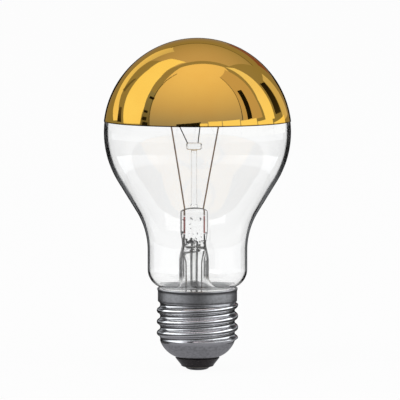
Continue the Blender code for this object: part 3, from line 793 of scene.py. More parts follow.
@dataclass
class MirrorCrown:
    """The gold mirror coat over the crown."""

    bulb: GlassBulb
    gap: float = 0.1 * MM
    coat: float = 0.1 * MM
    rim_rise: float = 3.5 * MM
    segments: int = 160

    def build(self) -> bpy.types.Object:
        """Draw the crown's arc, spin it and give it its thickness.

        Returns:
            The dressed coat.
        """
        outer = self.bulb.ball + self.gap + self.coat
        rim = math.degrees(math.asin(self.rim_rise / self.bulb.ball))
        section = Section("gold_crown", 0.0, self.bulb.crown_z + outer)
        section.arc_about(0.0, self.bulb.crown_z, -90.0 + rim, 64)
        item = section.spin_round(self.segments)
        give_wall(item, self.coat)
        smooth(item, 50.0)
        rim_z = self.bulb.crown_z + outer * math.sin(math.radians(rim))
        return place_piece(item, GoldMirror(rim_z=rim_z).make(), Slot.GOLD_MIRROR, "crown_mirror")


@dataclass
class ScrewCap:
    """The cap: threaded sheet, cement, black glass, contact plate and solder."""

    height: float = 26.5 * MM
    sheet: float = 0.35 * MM
    collar: float = 12.75 * MM
    collar_base_z: float = 22.2 * MM
    lip_flare: float = 0.2 * MM
    thread_top_z: float = 21.7 * MM
    thread_base_z: float = 9.35 * MM
    pitch: float = 3.629 * MM
    crest: float = 13.1 * MM
    depth: float = 1.1 * MM
    start_z: float = 10.15 * MM
    fade: float = 1.1 * MM
    shoulder_bend: float = 8.5 * MM
    shoulder_lean: float = 20.0
    mouth: float = 7.1 * MM
    mouth_gap: float = 0.3 * MM
    cement: float = 0.8 * MM
    insulator_floor: float = 2.8 * MM
    insulator_base: float = 5.1 * MM
    insulator_base_z: float = 1.2 * MM
    plate: float = 4.5 * MM
    plate_base_z: float = 1.0 * MM
    plate_top_z: float = 1.4 * MM
    plate_gap: float = 0.15 * MM
    outer_lead: float = 0.22 * MM
    drop: float = 3.8 * MM
    drop_flat: float = 1.4 * MM
    drop_height: float = 0.9 * MM
    segments: int = 144
    rows_per_pitch: int = 32

    def thread_share(self, angle: float, z: float) -> float:
        """Return how far the thread rises at a place, from 0 at its root to 1 at its crest.

        Args:
            angle: The angle round the axis.
            z: The height.

        Returns:
            The share of the thread's depth.
        """
        turns = (z - self.start_z) / self.pitch - angle / math.tau
        offset = self.pitch * abs(turns - round(turns))
        quarter = self.pitch / 4.0
        half = self.depth / 2.0
        bend = (quarter**2 + half**2) / (2.0 * half)
        if offset <= quarter:
            rise = self.depth - bend + math.sqrt(bend**2 - offset**2)
        else:
            rise = bend - math.sqrt(bend**2 - (self.pitch / 2.0 - offset) ** 2)
        run_out = min(z - self.thread_base_z, self.collar_base_z - z) / self.fade
        return rise / self.depth * smooth_step(run_out)

    def shoulder_centre(self) -> tuple[float, float]:
        """Return the radius and the height of the centre of the shoulder's arc."""
        lean = math.radians(self.shoulder_lean)
        radius = self.crest - self.depth - self.shoulder_bend * math.cos(lean)
        return radius, self.thread_base_z + self.shoulder_bend * math.sin(lean)

    def build_shell(self) -> bpy.types.Object:
        """Spin the sheet, roll its thread and give it its thickness.

        Returns:
            The dressed shell.
        """
        root = self.crest - self.depth
        bend_r, bend_z = self.shoulder_centre()
        end = math.degrees(math.acos((self.mouth - bend_r) / self.shoulder_bend))
        section = Section("rolled_cap_shell", self.collar + self.lip_flare * 0.2, self.height)
        section.line_to(self.collar + self.lip_flare * 0.75, self.height - 0.08 * MM)
        section.line_to(self.collar + self.lip_flare, self.height - 0.3 * MM)
        section.ease_to(self.collar, self.height - 1.1 * MM, 6)
        section.line_to(self.collar, self.collar_base_z + 0.2 * MM, 6)
        section.ease_to(root, self.thread_top_z - 0.1 * MM, 8)
        rows = round((self.thread_top_z - self.thread_base_z) / self.pitch * self.rows_per_pitch)
        section.line_to(root, self.thread_base_z, rows)
        section.arc_about(bend_r, bend_z, -(end - self.shoulder_lean), 14)
        item = section.spin_round(self.segments)
        if not faces_look_out(item):
            turn_inside_out(item)
        group = item.vertex_groups.new(name="thread")
        for vert in item.data.vertices:
            if self.thread_base_z < vert.co.z < self.collar_base_z:
                share = self.thread_share(math.atan2(vert.co.y, vert.co.x), vert.co.z)
                base = min(1.0, (self.crest - vert.co.xy.length) / self.depth)
                group.add([vert.index], share * base, "REPLACE")
        apply_modifier(item, "DISPLACE", strength=self.depth, mid_level=0.0, vertex_group="thread")
        give_wall(item, self.sheet)
        smooth(item, 50.0)
        return place_piece(item, CapMetal().make(), Slot.CAP_METAL, "cap_shell")

    def build_insulator(self) -> bpy.types.Object:
        """Turn the black glass with its recess for the contact plate.

        Returns:
            The dressed insulator.
        """
        bend_r, bend_z = self.shoulder_centre()
        seat = self.shoulder_bend - self.sheet - self.mouth_gap
        throat = self.mouth - self.sheet - self.mouth_gap / 3.0
        mouth_z = bend_z - math.sqrt(self.shoulder_bend**2 - (self.mouth - bend_r) ** 2)
        top_z = mouth_z + self.insulator_floor
        start = math.degrees(math.asin((bend_z - top_z) / seat))
        end = math.degrees(math.acos((throat - bend_r) / seat))
        lip_z = mouth_z - self.mouth_gap
        base, base_z = self.insulator_base, self.insulator_base_z
        recess = self.plate + self.plate_gap
        recess_z = self.plate_top_z + self.plate_gap
        bore = self.outer_lead + self.mouth_gap
        section = Section("black_glass_insulator", bore, top_z)
        section.line_to(bend_r + seat * math.cos(math.radians(start)), top_z, 4)
        section.arc_about(bend_r, bend_z, start - end, 8)
        section.line_to(throat, lip_z + 0.05 * MM)
        section.line_to(self.mouth - 0.1 * MM, lip_z)
        section.line_to(self.mouth, lip_z - 0.12 * MM)
        section.line_to(base + 0.25 * MM, base_z + 0.5 * MM, 6)
        section.line_to(base + 0.1 * MM, base_z + 0.15 * MM)
        section.line_to(base - 0.06 * MM, base_z + 0.02 * MM)
        section.line_to(recess + 0.03 * MM, base_z + 0.02 * MM)
        section.line_to(recess, recess_z)
        section.line_to(bore, recess_z, 3)
        section.line_to(bore, top_z, 2)
        item = section.spin_round(96, 35.0)
        return place_piece(item, BlackGlass().make(), Slot.BLACK_GLASS, "cap_insulator")

    def build_cement(self) -> bpy.types.Object:
        """Turn the cement ring and cut its slot for the side lead.

        Returns:
            The dressed ring.
        """
        box_low, box_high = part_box("cap_cement")
        low, high, outer = box_low.z, box_high.z, box_high.x
        inner = outer - self.cement
        section = Section("cement_ring", inner, low)
        section.line_to(outer, low, 3).line_to(outer, high, 8)
        section.line_to(inner + 0.5 * MM, high - 0.06 * MM, 2).line_to(inner, high, 2).line_to(inner, low, 8)
        item = section.spin_round(120)
        clear_selection()
        middle = (0.0, (inner + outer) / 2.0, (low + high) / 2.0)
        bpy.ops.mesh.primitive_cube_add(size=1.0, location=middle)
        slot = bpy.context.object
        slot.scale = (1.0 * MM, 3.2 * MM, 8.0 * MM)
        apply_modifier(item, "BOOLEAN", operation="DIFFERENCE", solver="EXACT", object=slot)
        bpy.data.objects.remove(slot, do_unlink=True)
        smooth(item, 30.0)
        return place_piece(item, CapCement().make(), Slot.CEMENT, "cap_cement")

    def build_contact(self) -> None:
        """Turn the contact plate and the drop of solder under it."""
        hole, low, high = self.outer_lead + self.plate_gap, self.plate_base_z, self.plate_top_z
        chamfer = 0.12 * MM
        section = Section("contact_disc", hole, high)
        section.line_to(self.plate, high, 4).line_to(self.plate, low + chamfer)
        section.line_to(self.plate - chamfer, low).line_to(hole, low, 4).line_to(hole, high)
        plate = DullMetal("contact plate", (0.50, 0.47, 0.40), (0.26, 0.23, 0.18), 0.25, 0.45, (900.0, 900.0, 900.0), 0.00002)
        place_piece(section.spin_round(80, 35.0), plate.make(), Slot.CONTACT_METAL, "contact_plate")
        height, edge, flat = self.drop_height, self.drop, self.drop_flat
        section = Section("tip_solder", 0.0, height)
        section.line_to(edge, height, 8)
        for step in range(1, 13):
            angle = math.pi / 2.0 * step / 12.0
            section.line_to(blend(flat, edge, math.cos(angle)), height * (1.0 - math.sin(angle)))
        section.line_to(0.0, 0.0, 4)
        place_piece(section.spin_round(80), self.solder().make(), Slot.SOLDER, "centre_solder")

    def solder(self) -> DullMetal:
        """Return the finish of soft solder."""
        return DullMetal("soft solder", (0.20, 0.20, 0.21), (0.06, 0.06, 0.065), 0.30, 0.55, (520.0, 520.0, 520.0), 0.00010)

    def build_side_solder(self) -> bpy.types.Object:
        """Shape the drop of solder at the back of the collar.

        Returns:
            The dressed drop.
        """
        clear_selection()
        low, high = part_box("side_solder")
        seat = low.y
        middle = Vector((0.0, seat - 0.2 * MM, (low.z + high.z) / 2.0))
        bpy.ops.mesh.primitive_uv_sphere_add(segments=40, ring_count=20, radius=1.0, location=middle)
        item = bpy.context.object
        item.name = "side_drop"
        item.scale = ((high.x - low.x) / 2.0, high.y - seat + 0.2 * MM, (high.z - low.z) / 2.0)
        bpy.ops.object.transform_apply(location=True, rotation=True, scale=True)
        bpy.ops.object.mode_set(mode="EDIT")
        bpy.ops.mesh.select_all(action="SELECT")
        bpy.ops.mesh.bisect(plane_co=(0.0, seat + 0.1 * MM, 0.0), plane_no=(0.0, 1.0, 0.0), use_fill=True, clear_inner=True, threshold=1e-6)
        bpy.ops.object.mode_set(mode="OBJECT")
        point_out(item)
        smooth(item, 50.0)
        return place_piece(item, self.solder().make(), Slot.SOLDER, "side_solder")

    def build(self) -> None:
        """Build every piece of the cap."""
        self.build_shell()
        self.build_insulator()
        self.build_cement()
        self.build_contact()
        self.build_side_solder()


@dataclass
class Mount:
    """The glass mount: stem with pinch, exhaust tube, arbor rod, leads, supports and filament."""

    shift: float = -1.1 * MM
    filament_shift: float = 0.4 * MM
    turn: float = 16.0
    flare_rim: float = 10.2 * MM
    flare_rim_z: float = 23.7 * MM
    flare_height: float = 6.3 * MM
    flare_turn: float = 80.0
    tube: float = 4.8 * MM
    wall: float = 1.0 * MM
    tube_top_z: float = 35.2 * MM
    pressed: float = 5.8 * MM
    waist: float = 3.9 * MM
    swell: float = 4.2 * MM
    pinch_width: float = 4.45 * MM
    pinch_depth: float = 1.9 * MM
    pinch_top_z: float = 52.6 * MM
    pinch_dome: float = 1.5 * MM
    squareness: float = 3.2
    cavity: float = 3.0 * MM
    exhaust: float = 1.2 * MM
    exhaust_wall: float = 0.4 * MM
    rod: float = 0.95 * MM
    button: float = 2.55 * MM
    button_base_z: float = 71.0 * MM
    button_height: float = 2.3 * MM
    lead: float = 0.24 * MM
    seal: float = 0.25 * MM
    outer_lead: float = 0.22 * MM
    support: float = 0.18 * MM
    support_foot: float = 1.7 * MM
    lead_spacing: float = 3.1 * MM
    lead_spread: float = 8.8 * MM
    lead_hook: float = 0.9 * MM
    outer_spacing: float = 2.6 * MM
    filament_z: float = 83.84 * MM
    coil: float = 0.50 * MM
    coil_turns: int = 44

    def at(self, x: float, y: float, z: float) -> Vector:
        """Return a place that is given in the turned and shifted mount."""
        return Matrix.Rotation(math.radians(self.turn), 3, "Z") @ Vector((x, y, z)) + Vector((self.shift, 0.0, 0.0))

    def at_filament(self, x: float, y: float, z: float) -> Vector:
        """Return a place of the mount at the filament, which stands a little aside."""
        return self.at(x, y, z) + Vector((self.filament_shift, 0.0, 0.0))

    def around(self, radius: float, degrees: float, z: float) -> Vector:
        """Return a place of the filament's level at a radius and an angle round the mount."""
        angle = math.radians(degrees)
        return self.at_filament(radius * math.cos(angle), radius * math.sin(angle), z)

    def ring_point(self, angle: float, z: float, width: float, depth: float, power: float, lean: float) -> Vector:
        """Return a point of one of the stem's cross-sections.

        Args:
            angle: The angle in the section.
            z: The section's height.
            width: Half the section's width.
            depth: Half the section's depth.
            power: 2 for an ellipse, more for a squarer section.
            lean: 1 over the lamp's axis, 0 over the mount's.

        Returns:
            The point.
        """
        across = math.copysign(abs(math.cos(angle)) ** (2.0 / power), math.cos(angle))
        deep = math.copysign(abs(math.sin(angle)) ** (2.0 / power), math.sin(angle))
        return self.at(width * across, depth * deep, z) - Vector((self.shift * lean, 0.0, 0.0))

    def flare_point(self, angle: float, share: float, inset: float) -> Vector:
        """Return a point of the trumpet, at a share of the way from the tube to its rim."""
        full = math.radians(self.flare_turn)
        turn = full * share
        drop = math.sin(turn) / math.sin(full)
        spread = (1.0 - math.cos(turn)) / (1.0 - math.cos(full))
        radius = blend(self.tube, self.flare_rim, spread) - inset * math.cos(turn)
        base_z = self.flare_rim_z + self.flare_height
        return self.ring_point(angle, base_z - self.flare_height * drop - inset * math.sin(turn), radius, radius, 2.0, smooth_step(drop))

    def stem_point(self, ring: int, angle: float) -> Vector:
        """Return a point of the stem, with rings from the pinch's top down and up the bore.

        Args:
            ring: The ring's number.
            angle: The angle in the ring.

        Returns:
            The point.
        """
        dome, pinch, press, flare, bore = 10, 18, 14, 18, 12
        if ring <= dome:
            rise = math.radians(blend(80.0, 0.0, ring / dome))
            z = self.pinch_top_z - self.pinch_dome * (1.0 - math.sin(rise))
            return self.ring_point(angle, z, self.pinch_width * math.cos(rise), self.pinch_depth * math.cos(rise), self.squareness, 0.0)
        ring -= dome
        pinch_base = self.tube_top_z + self.pressed
        if ring <= pinch:
            z = blend(self.pinch_top_z - self.pinch_dome, pinch_base, ring / pinch)
            width = blend(self.waist, self.pinch_width, smooth_step((z - pinch_base) / self.swell))
            return self.ring_point(angle, z, width, self.pinch_depth, self.squareness, 0.0)
        ring -= pinch
        if ring <= press:
            share = 1.0 - ring / press
            eased = smooth_step(share)
            width = blend(self.tube, self.waist, eased)
            depth = blend(self.tube, self.pinch_depth, eased)
            return self.ring_point(angle, self.tube_top_z + self.pressed * share, width, depth, blend(2.0, self.squareness, eased), 0.0)
        ring -= press
        if ring <= flare + 1:
            return self.flare_point(angle, max(0, ring - 1) / flare, 0.0)
        ring -= flare + 2
        if ring <= flare:
            return self.flare_point(angle, 1.0 - ring / flare, self.wall)
        ring -= flare
        share = ring / bore
        eased = smooth_step(share)
        width = blend(self.tube - self.wall, self.waist - 0.4 * MM, eased)
        depth = blend(self.tube - self.wall, self.exhaust + 0.3 * MM, eased)
        return self.ring_point(angle, self.tube_top_z + self.cavity * share, width, depth, 2.0, 0.0)

    def build_glass(self) -> None:
        """Press the stem and turn the exhaust tube and the arbor rod."""
        # The stem, exhaust tube and rod glass take a painted dark reflection on their steep edges, a brownish one on
        # the rod.
        glass = ClearGlass(
            "pressed stem glass", painted_edge_start=0.36, painted_edge_end=0.44, ripple=240.0, ripple_depth=0.00012,
            speckle_low=self.tube_top_z + 2.4 * MM, speckle_high=self.tube_top_z + 11.8 * MM, clear_z=28.0 * MM,
        ).make()
        thin = ClearGlass("exhaust tube glass", painted_edge_start=0.16, painted_edge_end=0.26, ripple=120.0, clear_z=23.5 * MM).make()
        rod_glass = ClearGlass("arbor rod glass", edge=(0.34, 0.29, 0.25), painted_edge_start=0.40, painted_edge_end=0.55, ripple=120.0).make()
        stem = stacked_rings("pressed_stem", 64, 10 + 18 + 14 + 18 + 2 + 18 + 12 + 1, self.stem_point)
        stem.visible_shadow = False
        place_piece(stem, glass, Slot.STEM_GLASS, "stem")
        low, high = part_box("exhaust_tube")
        centre_z = low.z + self.exhaust
        bore = self.exhaust - self.exhaust_wall
        section = Section("tipped_exhaust_tube", 0.0, centre_z - bore)
        section.arc_about(0.0, centre_z, 90.0, 8).line_to(bore, high.z, 12)
        section.line_to(self.exhaust, high.z).line_to(self.exhaust, centre_z, 12).arc_about(0.0, centre_z, -90.0, 8)
        tube = section.spin_round(40)
        tube.location = (self.shift, 0.0, 0.0)
        place_piece(tube, thin, Slot.STEM_GLASS, "exhaust_tube")
        foot_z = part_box("arbor_rod")[0].z
        section = Section("button_rod", 0.0, foot_z)
        section.line_to(self.rod + 0.3 * MM, foot_z, 2)
        section.ease_to(self.rod, foot_z + 0.9 * MM, 6).line_to(self.rod, self.button_base_z - 0.3 * MM, 12)
        section.ease_to(self.rod + 0.15 * MM, self.button_base_z, 2)
        edge, rounding = self.button - 0.7 * MM, 0.7 * MM
        section.line_to(edge, self.button_base_z, 2)
        section.arc_about(edge, self.button_base_z + rounding, 90.0, 7)
        section.line_to(self.button, self.button_base_z + self.button_height - rounding)
        section.arc_about(edge, self.button_base_z + self.button_height - rounding, 90.0, 7)
        section.line_to(0.0, self.button_base_z + self.button_height, 4)
        rod = section.spin_round(48)
        rod.location = (self.shift, 0.0, 0.0)
        place_piece(rod, rod_glass, Slot.STEM_GLASS, "arbor_rod")

    def build_leads(self) -> None:
        """Bend the inner leads, the seal wires and the outer leads."""
        brown = DullMetal("brown lead wire", (0.235, 0.150, 0.090), (0.085, 0.050, 0.032), 0.25, 0.45, (1400.0, 1400.0, 260.0), 0.00001).make()
        red = DullMetal("red seal wire", (0.50, 0.10, 0.075), (0.25, 0.035, 0.030), 0.3, 0.5, (1400.0, 1400.0, 500.0), 0.00001, 0.2).make()
        grey = DullMetal("outer lead wire", (0.065, 0.055, 0.048), (0.022, 0.019, 0.017), 0.3, 0.5, (1400.0, 1400.0, 260.0), 0.00001).make()
        seal_low, seal_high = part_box("seal_wire_left")
        cement_low, cement_high = (corner.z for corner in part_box("cap_cement"))
        exit_z = self.pinch_top_z - self.pinch_dome / 2.0 + 0.3 * MM
        for side in Side:
            label = side.name.lower()
            x = side.value * self.lead_spacing
            far = side.value * self.lead_spread
            corners = [
                self.at(x, 0.0, seal_high.z + 0.2 * MM),
                self.at(x, 0.0, exit_z),
                self.at_filament(far, 0.0, self.filament_z - self.lead),
                self.at_filament(far, self.lead, self.filament_z),
                self.at_filament(far, self.lead_hook, self.filament_z),
            ]
            wire = bend_wire("lead_" + label, rounded_path(corners, 0.7 * MM), self.lead)
            place_piece(wire, brown, Slot.INNER_LEAD, "inner_lead_" + label)
            path = [self.at(x, 0.0, blend(seal_low.z, seal_high.z, step / 6)) for step in range(7)]
            seal = bend_wire("seal_" + label, path, self.seal)
            place_piece(seal, red, Slot.SEAL_WIRE, "seal_wire_" + label)
        for side, label in ((Side.LEFT, "centre"), (Side.RIGHT, "side")):
            x = side.value * self.lead_spacing
            near = side.value * self.outer_spacing
            corners = [
                self.at(x, 0.0, seal_low.z - 0.2 * MM),
                self.at(x, 0.0, self.tube_top_z + self.cavity - 0.3 * MM),
                self.at(near, 0.0, self.tube_top_z - 0.3 * MM),
            ]
            low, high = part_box("outer_lead_" + label)
            if label == "centre":
                tip_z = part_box("exhaust_tube")[0].z + self.exhaust
                corners += [self.at(near, 0.0, tip_z), Vector((0.0, 0.0, tip_z - 5.3 * MM)), Vector((0.0, 0.0, low.z))]
            else:
                slot_y = high.y - self.outer_lead
                corners += [
                    self.at(near, 0.0, cement_low),
                    Vector((0.0, 10.15 * MM, cement_low - 1.3 * MM)),
                    Vector((0.0, 11.35 * MM, cement_low - 1.0 * MM)),
                    Vector((0.0, slot_y, cement_low + 0.3 * MM)),
                    Vector((0.0, slot_y, cement_high + 0.3 * MM)),
                ]
            wire = bend_wire("outer_wire_" + label, rounded_path(corners, 0.6 * MM), self.outer_lead)
            place_piece(wire, grey, Slot.OUTER_LEAD, "outer_lead_" + label)

    def build_supports(self) -> None:
        """Bend the two support wires with their loops round the filament."""
        dark = DullMetal("support wire", (0.030, 0.028, 0.027), (0.012, 0.011, 0.011), 0.3, 0.5, (1600.0, 1600.0, 400.0), 0.00001).make()
        loop = self.coil + 0.3 * MM + self.support
        foot_z = self.button_base_z + self.button_height - 1.0 * MM
        for side in Side:
            foot_angle = 30.0 if side is Side.RIGHT else 170.0
            tip_angle = 60.0 if side is Side.RIGHT else 130.0
            foot = math.radians(foot_angle)
            path = [self.at(self.support_foot * math.cos(foot), self.support_foot * math.sin(foot), foot_z)]
            for step in range(25):
                turn = math.radians(270.0 * step / 24.0 - 90.0)
                path.append(self.around(self.lead_spread + loop * math.cos(turn), tip_angle, self.filament_z + loop * math.sin(turn)))
            wire = bend_wire("support_" + side.name.lower(), path, self.support)
            place_piece(wire, dark, Slot.SUPPORT_WIRE, "support_wire_" + side.name.lower())

    def build_filament(self) -> bpy.types.Object:
        """Coil the filament between the hooks of the leads.

        Returns:
            The dressed filament.
        """
        start = math.degrees(math.asin((self.lead_hook + 0.2 * MM) / self.lead_spread))
        count = self.coil_turns * 12
        path = []
        for index in range(count + 1):
            share = index / count
            turn = math.tau * self.coil_turns * share
            swell = smooth_step(min(share, 1.0 - share) * self.coil_turns / 2.0)
            radius = self.lead_spread + self.coil * swell * math.cos(turn)
            path.append(self.around(radius, blend(start, 180.0 - start, share), self.filament_z + self.coil * swell * math.sin(turn)))
        item = bend_wire("coiled_filament", path, 0.1 * MM, 1)
        grey = DullMetal("filament wire", (0.17, 0.17, 0.18), (0.07, 0.07, 0.075), 0.4, 0.6, (2500.0, 2500.0, 2500.0), 0.00001)
        return place_piece(item, grey.make(), Slot.FILAMENT, "filament")

    def build(self) -> None:
        """Build every piece of the mount."""
        self.build_glass()
        self.build_leads()
        self.build_supports()
        self.build_filament()


# The studio


@dataclass(frozen=True)
class Card:
    """A studio card that only reflections see, given in degrees of azimuth and elevation.

    Azimuth 0 is towards the viewer and 90 is to the right, as seen from the focus. The rows run
    from the low edge up, each with the place of its left and its right end, and the low edge, the
    middle and the high edge have a colour each. A straight card has straight edges, and another
    follows the lines of azimuth and elevation.
    """

    name: str
    rows: tuple[tuple[tuple[float, float], tuple[float, float]], ...]
    low: Point
    high: Point
    middle: Point | None = None
    distance: float = 2.0
    straight: bool = False
    focus_z: float = 76.6 * MM


@dataclass
class Studio:
    """The pale floor, the white field, the cards, the lights and the camera."""

    focus: Point = (0.0, 0.0, 0.0766)
    camera_place: Point = (0.0, -1.256, 0.161)
    camera_aim: Point = (0.00082, 0.0, 0.0548)
    focal: float = 353.4
    sensor: float = 36.0
    room_low: Point = (0.27, 0.28, 0.30)
    room_high: Point = (0.32, 0.31, 0.33)
    table_level: Point = (0.22, 0.22, 0.23)
    shadow_level: Point = (0.06, 0.06, 0.06)
    near_level: Point = (0.30, 0.30, 0.32)
    flag_level: Point = (0.03, 0.03, 0.03)
    back_level: Point = (0.006, 0.006, 0.006)
    lamp_level: float = 0.55
    floor_glow: float = 0.95
    back_dark: float = 0.93

    def wall_cards(self) -> tuple[Card, ...]:
        """Return the wall in front, the ceiling and the curtain."""
        tan = (0.56, 0.50, 0.62)
        olive = (0.36, 0.36, 0.48)
        line = (0.14, 0.14, 0.14)
        brown = (0.22, 0.10, 0.11)
        return (
            Card("front_wall", (((-61, 3), (58, 3)), ((-98, 75), (110, 66))), (0.25, 0.30, 0.62),
                 (0.91, 0.82, 0.84), (0.60, 0.55, 0.66), 2.3, True),
            Card("ceiling_line", (((-120, 70), (130, 64)), ((-149, 31.8), (145, 31.8))), line, line, None, 2.5, True),
            Card("ceiling", (((-148, 33), (144, 33)), ((-108, 70), (118, 61))), olive, tan, None, 2.4, True),
            Card("right_curtain", (((60, 14), (90, 13)), ((61, 29), (91, 29)), ((63, 45), (96, 48)), ((64, 66), (100, 66))),
                 (0.52, 0.45, 0.50), (0.58, 0.50, 0.54)),
            Card("back_line", (((158, -3), (202, -3)), ((160, 9), (200, 9))), self.back_level, self.back_level, None, 1.9),
            Card("brown_wall", (((160, 11), (174, 11)), ((155, 22), (172, 19))), brown, brown, None, 1.85),
        )

    def light_cards(self) -> tuple[Card, ...]:
        """Return the bright boxes, strips and panes."""
        white = (1.02, 1.02, 0.92)
        cool = (0.97, 1.0, 1.04)
        pearl = (0.97, 0.96, 1.0)
        dim = (0.86, 0.88, 1.0)
        faded = (0.64, 0.66, 0.84)
        panes = ((3, 12, 13.5), (13, 29, 15.5), (30, 52, 15.5), (53, 76, 14.0), (77, 103, 10.5), (105, 133, 6.0))
        panels = ((-150, -112, 0.4, 0.02), (-112, -46, 1.25, 0.55), (-46, -34, 1.0, 0.5), (-34, -24, 0.8, 0.45),
                  (-24, -12, 0.6, 0.4), (-12, 10, 0.5, 0.4), (10, 20, 0.6, 0.4), (20, 32, 0.8, 0.45), (32, 46, 1.0, 0.5),
                  (46, 112, 1.25, 0.55), (112, 155, 0.4, 0.02))
        return (
            Card("left_softbox", (((-103, 6), (-74, 9)), ((-110, 15), (-74, 18)), ((-116, 23), (-75, 25)),
                                  ((-121, 33), (-81, 40)), ((-127, 44), (-91, 56)), ((-135, 50), (-110, 69)),
                                  ((-141, 60), (-135, 77))), white, white),
            Card("left_far_strip", (((-127, 4), (-116, 6)), ((-135, 8), (-121, 12)), ((-141, 13), (-130, 18)),
                                    ((-148, 18), (-137, 25)), ((-154, 24), (-143, 31)), ((-161, 29), (-148, 41)),
                                    ((-166, 38), (-159, 50))), pearl, faded, dim),
            Card("right_strip", (((94, 10), (112, 8)), ((94, 28), (114, 27)), ((102, 47), (116, 42)),
                                 ((111, 65), (117, 57))), white, dim, pearl),
            Card("right_far_wall", (((133, 3), (152, 2)), ((131, 29), (142, 27))), faded, faded),
            *(
                Card(f"right_pane_{start}", (((start, -10), (end, -10)), ((start, top), (end, top))), white, white, None, 0.3)
                for start, end, top in panes
            ),
            *(
                Card(f"cap_panel_{start}", (((start, 1), (end, 1)), ((start, 34), (end, 34))),
                     tuple(level * part for part in cool), tuple(top * part for part in cool),
                     tuple(level**3 * part for part in cool), 0.1, False, 18.0 * MM)
                for start, end, level, top in panels
            ),
        )

    def dark_cards(self) -> tuple[Card, ...]:
        """Return the dark windows, frames, gaps and the bar in front of the camera."""
        black = (0.010, 0.010, 0.010)
        brown = (0.10, 0.09, 0.09)
        shade = (0.15, 0.15, 0.16)
        gap = (0.25, 0.28, 0.40)
        ticks = ((-76, -67, 35, 37.5), (-74, -68, 20.5, 23), (-74, -67, 13, 16.5), (-72, -64, 8, 11.5))
        return (
            Card("near_window", (((66, 14), (73, 15)), ((70, 45), (78, 44))), black, black, None, 1.9),
            Card("far_window", (((116, 10), (131, 8)), ((119, 33), (130, 28))), (0.035, 0.035, 0.04), black, None, 1.9),
            Card("left_gap", (((-75, 7), (-62, 8)), ((-76, 25), (-66, 25)), ((-82, 42), (-71, 42))), shade, gap, None, 1.95),
            Card("left_frame", (((-62, 9), (-61, 9)), ((-66, 25), (-65, 25)), ((-70.2, 39), (-69, 39)),
                                ((-74, 58), (-72, 58)), ((-73.5, 70), (-71, 70))), black, shade, None, 1.9),
            Card("right_frame", (((58, 15), (59, 15)), ((63, 45), (64, 45)), ((64, 66), (65.5, 66))), black, shade, None, 1.9),
            Card("left_shade", (((-134, 20), (-127, 22)), ((-130, 31), (-126, 34))), shade, shade, None, 1.9),
            Card("left_stand", (((-117, 5), (-108, 6)), ((-121, 14), (-115, 15))), black, brown, None, 1.9),
            Card("camera_bar", (((-26, 11), (4, 10)), ((-26, 12.5), (4, 15.5))), black, black, None, 1.9),
            Card("cap_top_flag", (((-150, 34), (155, 34)), ((-150, 49), (155, 49))), black, black, None, 0.072, False, 18.0 * MM),
            *(
                Card(f"tick_{low}", (((left, low), (right, low)), ((left, high), (right, high))), black, black, None, 1.85)
                for left, right, low, high in ticks
            ),
        )

    def paint_world(self) -> None:
        """Give the world a white field, and a softer level for the light on the object."""
        world = bpy.data.worlds.new("white field")
        bpy.context.scene.world = world
        world.use_nodes = True
        tree = world.node_tree
        background = tree.nodes["Background"]
        background.inputs["Color"].default_value = (1.0, 1.0, 1.0, 1.0)
        tree.links.new(self.seen_share(tree, self.lamp_level, 1.0), background.inputs["Strength"])

    def shown_on_floor(self, tree: bpy.types.NodeTree) -> bpy.types.NodeSocket:
        """Return the floor's glow, which close behind the lamp is dark in mirrored rays, as the grey table is.

        Args:
            tree: The node tree to add to.

        Returns:
            The value socket.
        """
        path = tree.nodes.new("ShaderNodeLightPath")
        spot = tree.nodes.new("ShaderNodeTexCoord")
        parts = tree.nodes.new("ShaderNodeSeparateXYZ")
        tree.links.new(spot.outputs["Object"], parts.inputs[0])
        behind = tree.nodes.new("ShaderNodeMath")
        behind.operation = "COMPARE"
        tree.links.new(parts.outputs["Y"], behind.inputs[0])
        behind.inputs[1].default_value = 0.28
        behind.inputs[2].default_value = 0.22
        mirrored = tree.nodes.new("ShaderNodeMath")
        mirrored.operation = "MINIMUM"
        tree.links.new(path.outputs["Glossy Depth"], mirrored.inputs[0])
        mirrored.inputs[1].default_value = self.back_dark
        dark = tree.nodes.new("ShaderNodeMath")
        dark.operation = "MULTIPLY"
        tree.links.new(behind.outputs["Value"], dark.inputs[0])
        tree.links.new(mirrored.outputs[0], dark.inputs[1])
        shown = tree.nodes.new("ShaderNodeMath")
        shown.operation = "SUBTRACT"
        shown.inputs[0].default_value = self.floor_glow
        tree.links.new(dark.outputs[0], shown.inputs[1])
        return shown.outputs[0]

    def seen_share(self, tree: bpy.types.NodeTree, unseen: float, seen: object) -> bpy.types.NodeSocket:
        """Return a value that camera, glossy and transmission rays see, and another for the rest.

        Args:
            tree: The node tree to add to.
            unseen: The value for other rays.
            seen: The value or the socket for rays that show the field.

        Returns:
            The value socket.
        """
        path = tree.nodes.new("ShaderNodeLightPath")
        first = tree.nodes.new("ShaderNodeMath")
        first.operation = "MAXIMUM"
        tree.links.new(path.outputs["Is Camera Ray"], first.inputs[0])
        tree.links.new(path.outputs["Is Glossy Ray"], first.inputs[1])
        second = tree.nodes.new("ShaderNodeMath")
        second.operation = "MAXIMUM"
        tree.links.new(first.outputs[0], second.inputs[0])
        tree.links.new(path.outputs["Is Transmission Ray"], second.inputs[1])
        spread = tree.nodes.new("ShaderNodeMapRange")
        spread.inputs["To Min"].default_value = unseen
        if isinstance(seen, bpy.types.NodeSocket):
            tree.links.new(seen, spread.inputs["To Max"])
        else:
            spread.inputs["To Max"].default_value = seen
        tree.links.new(second.outputs[0], spread.inputs["Value"])
        return spread.outputs["Result"]

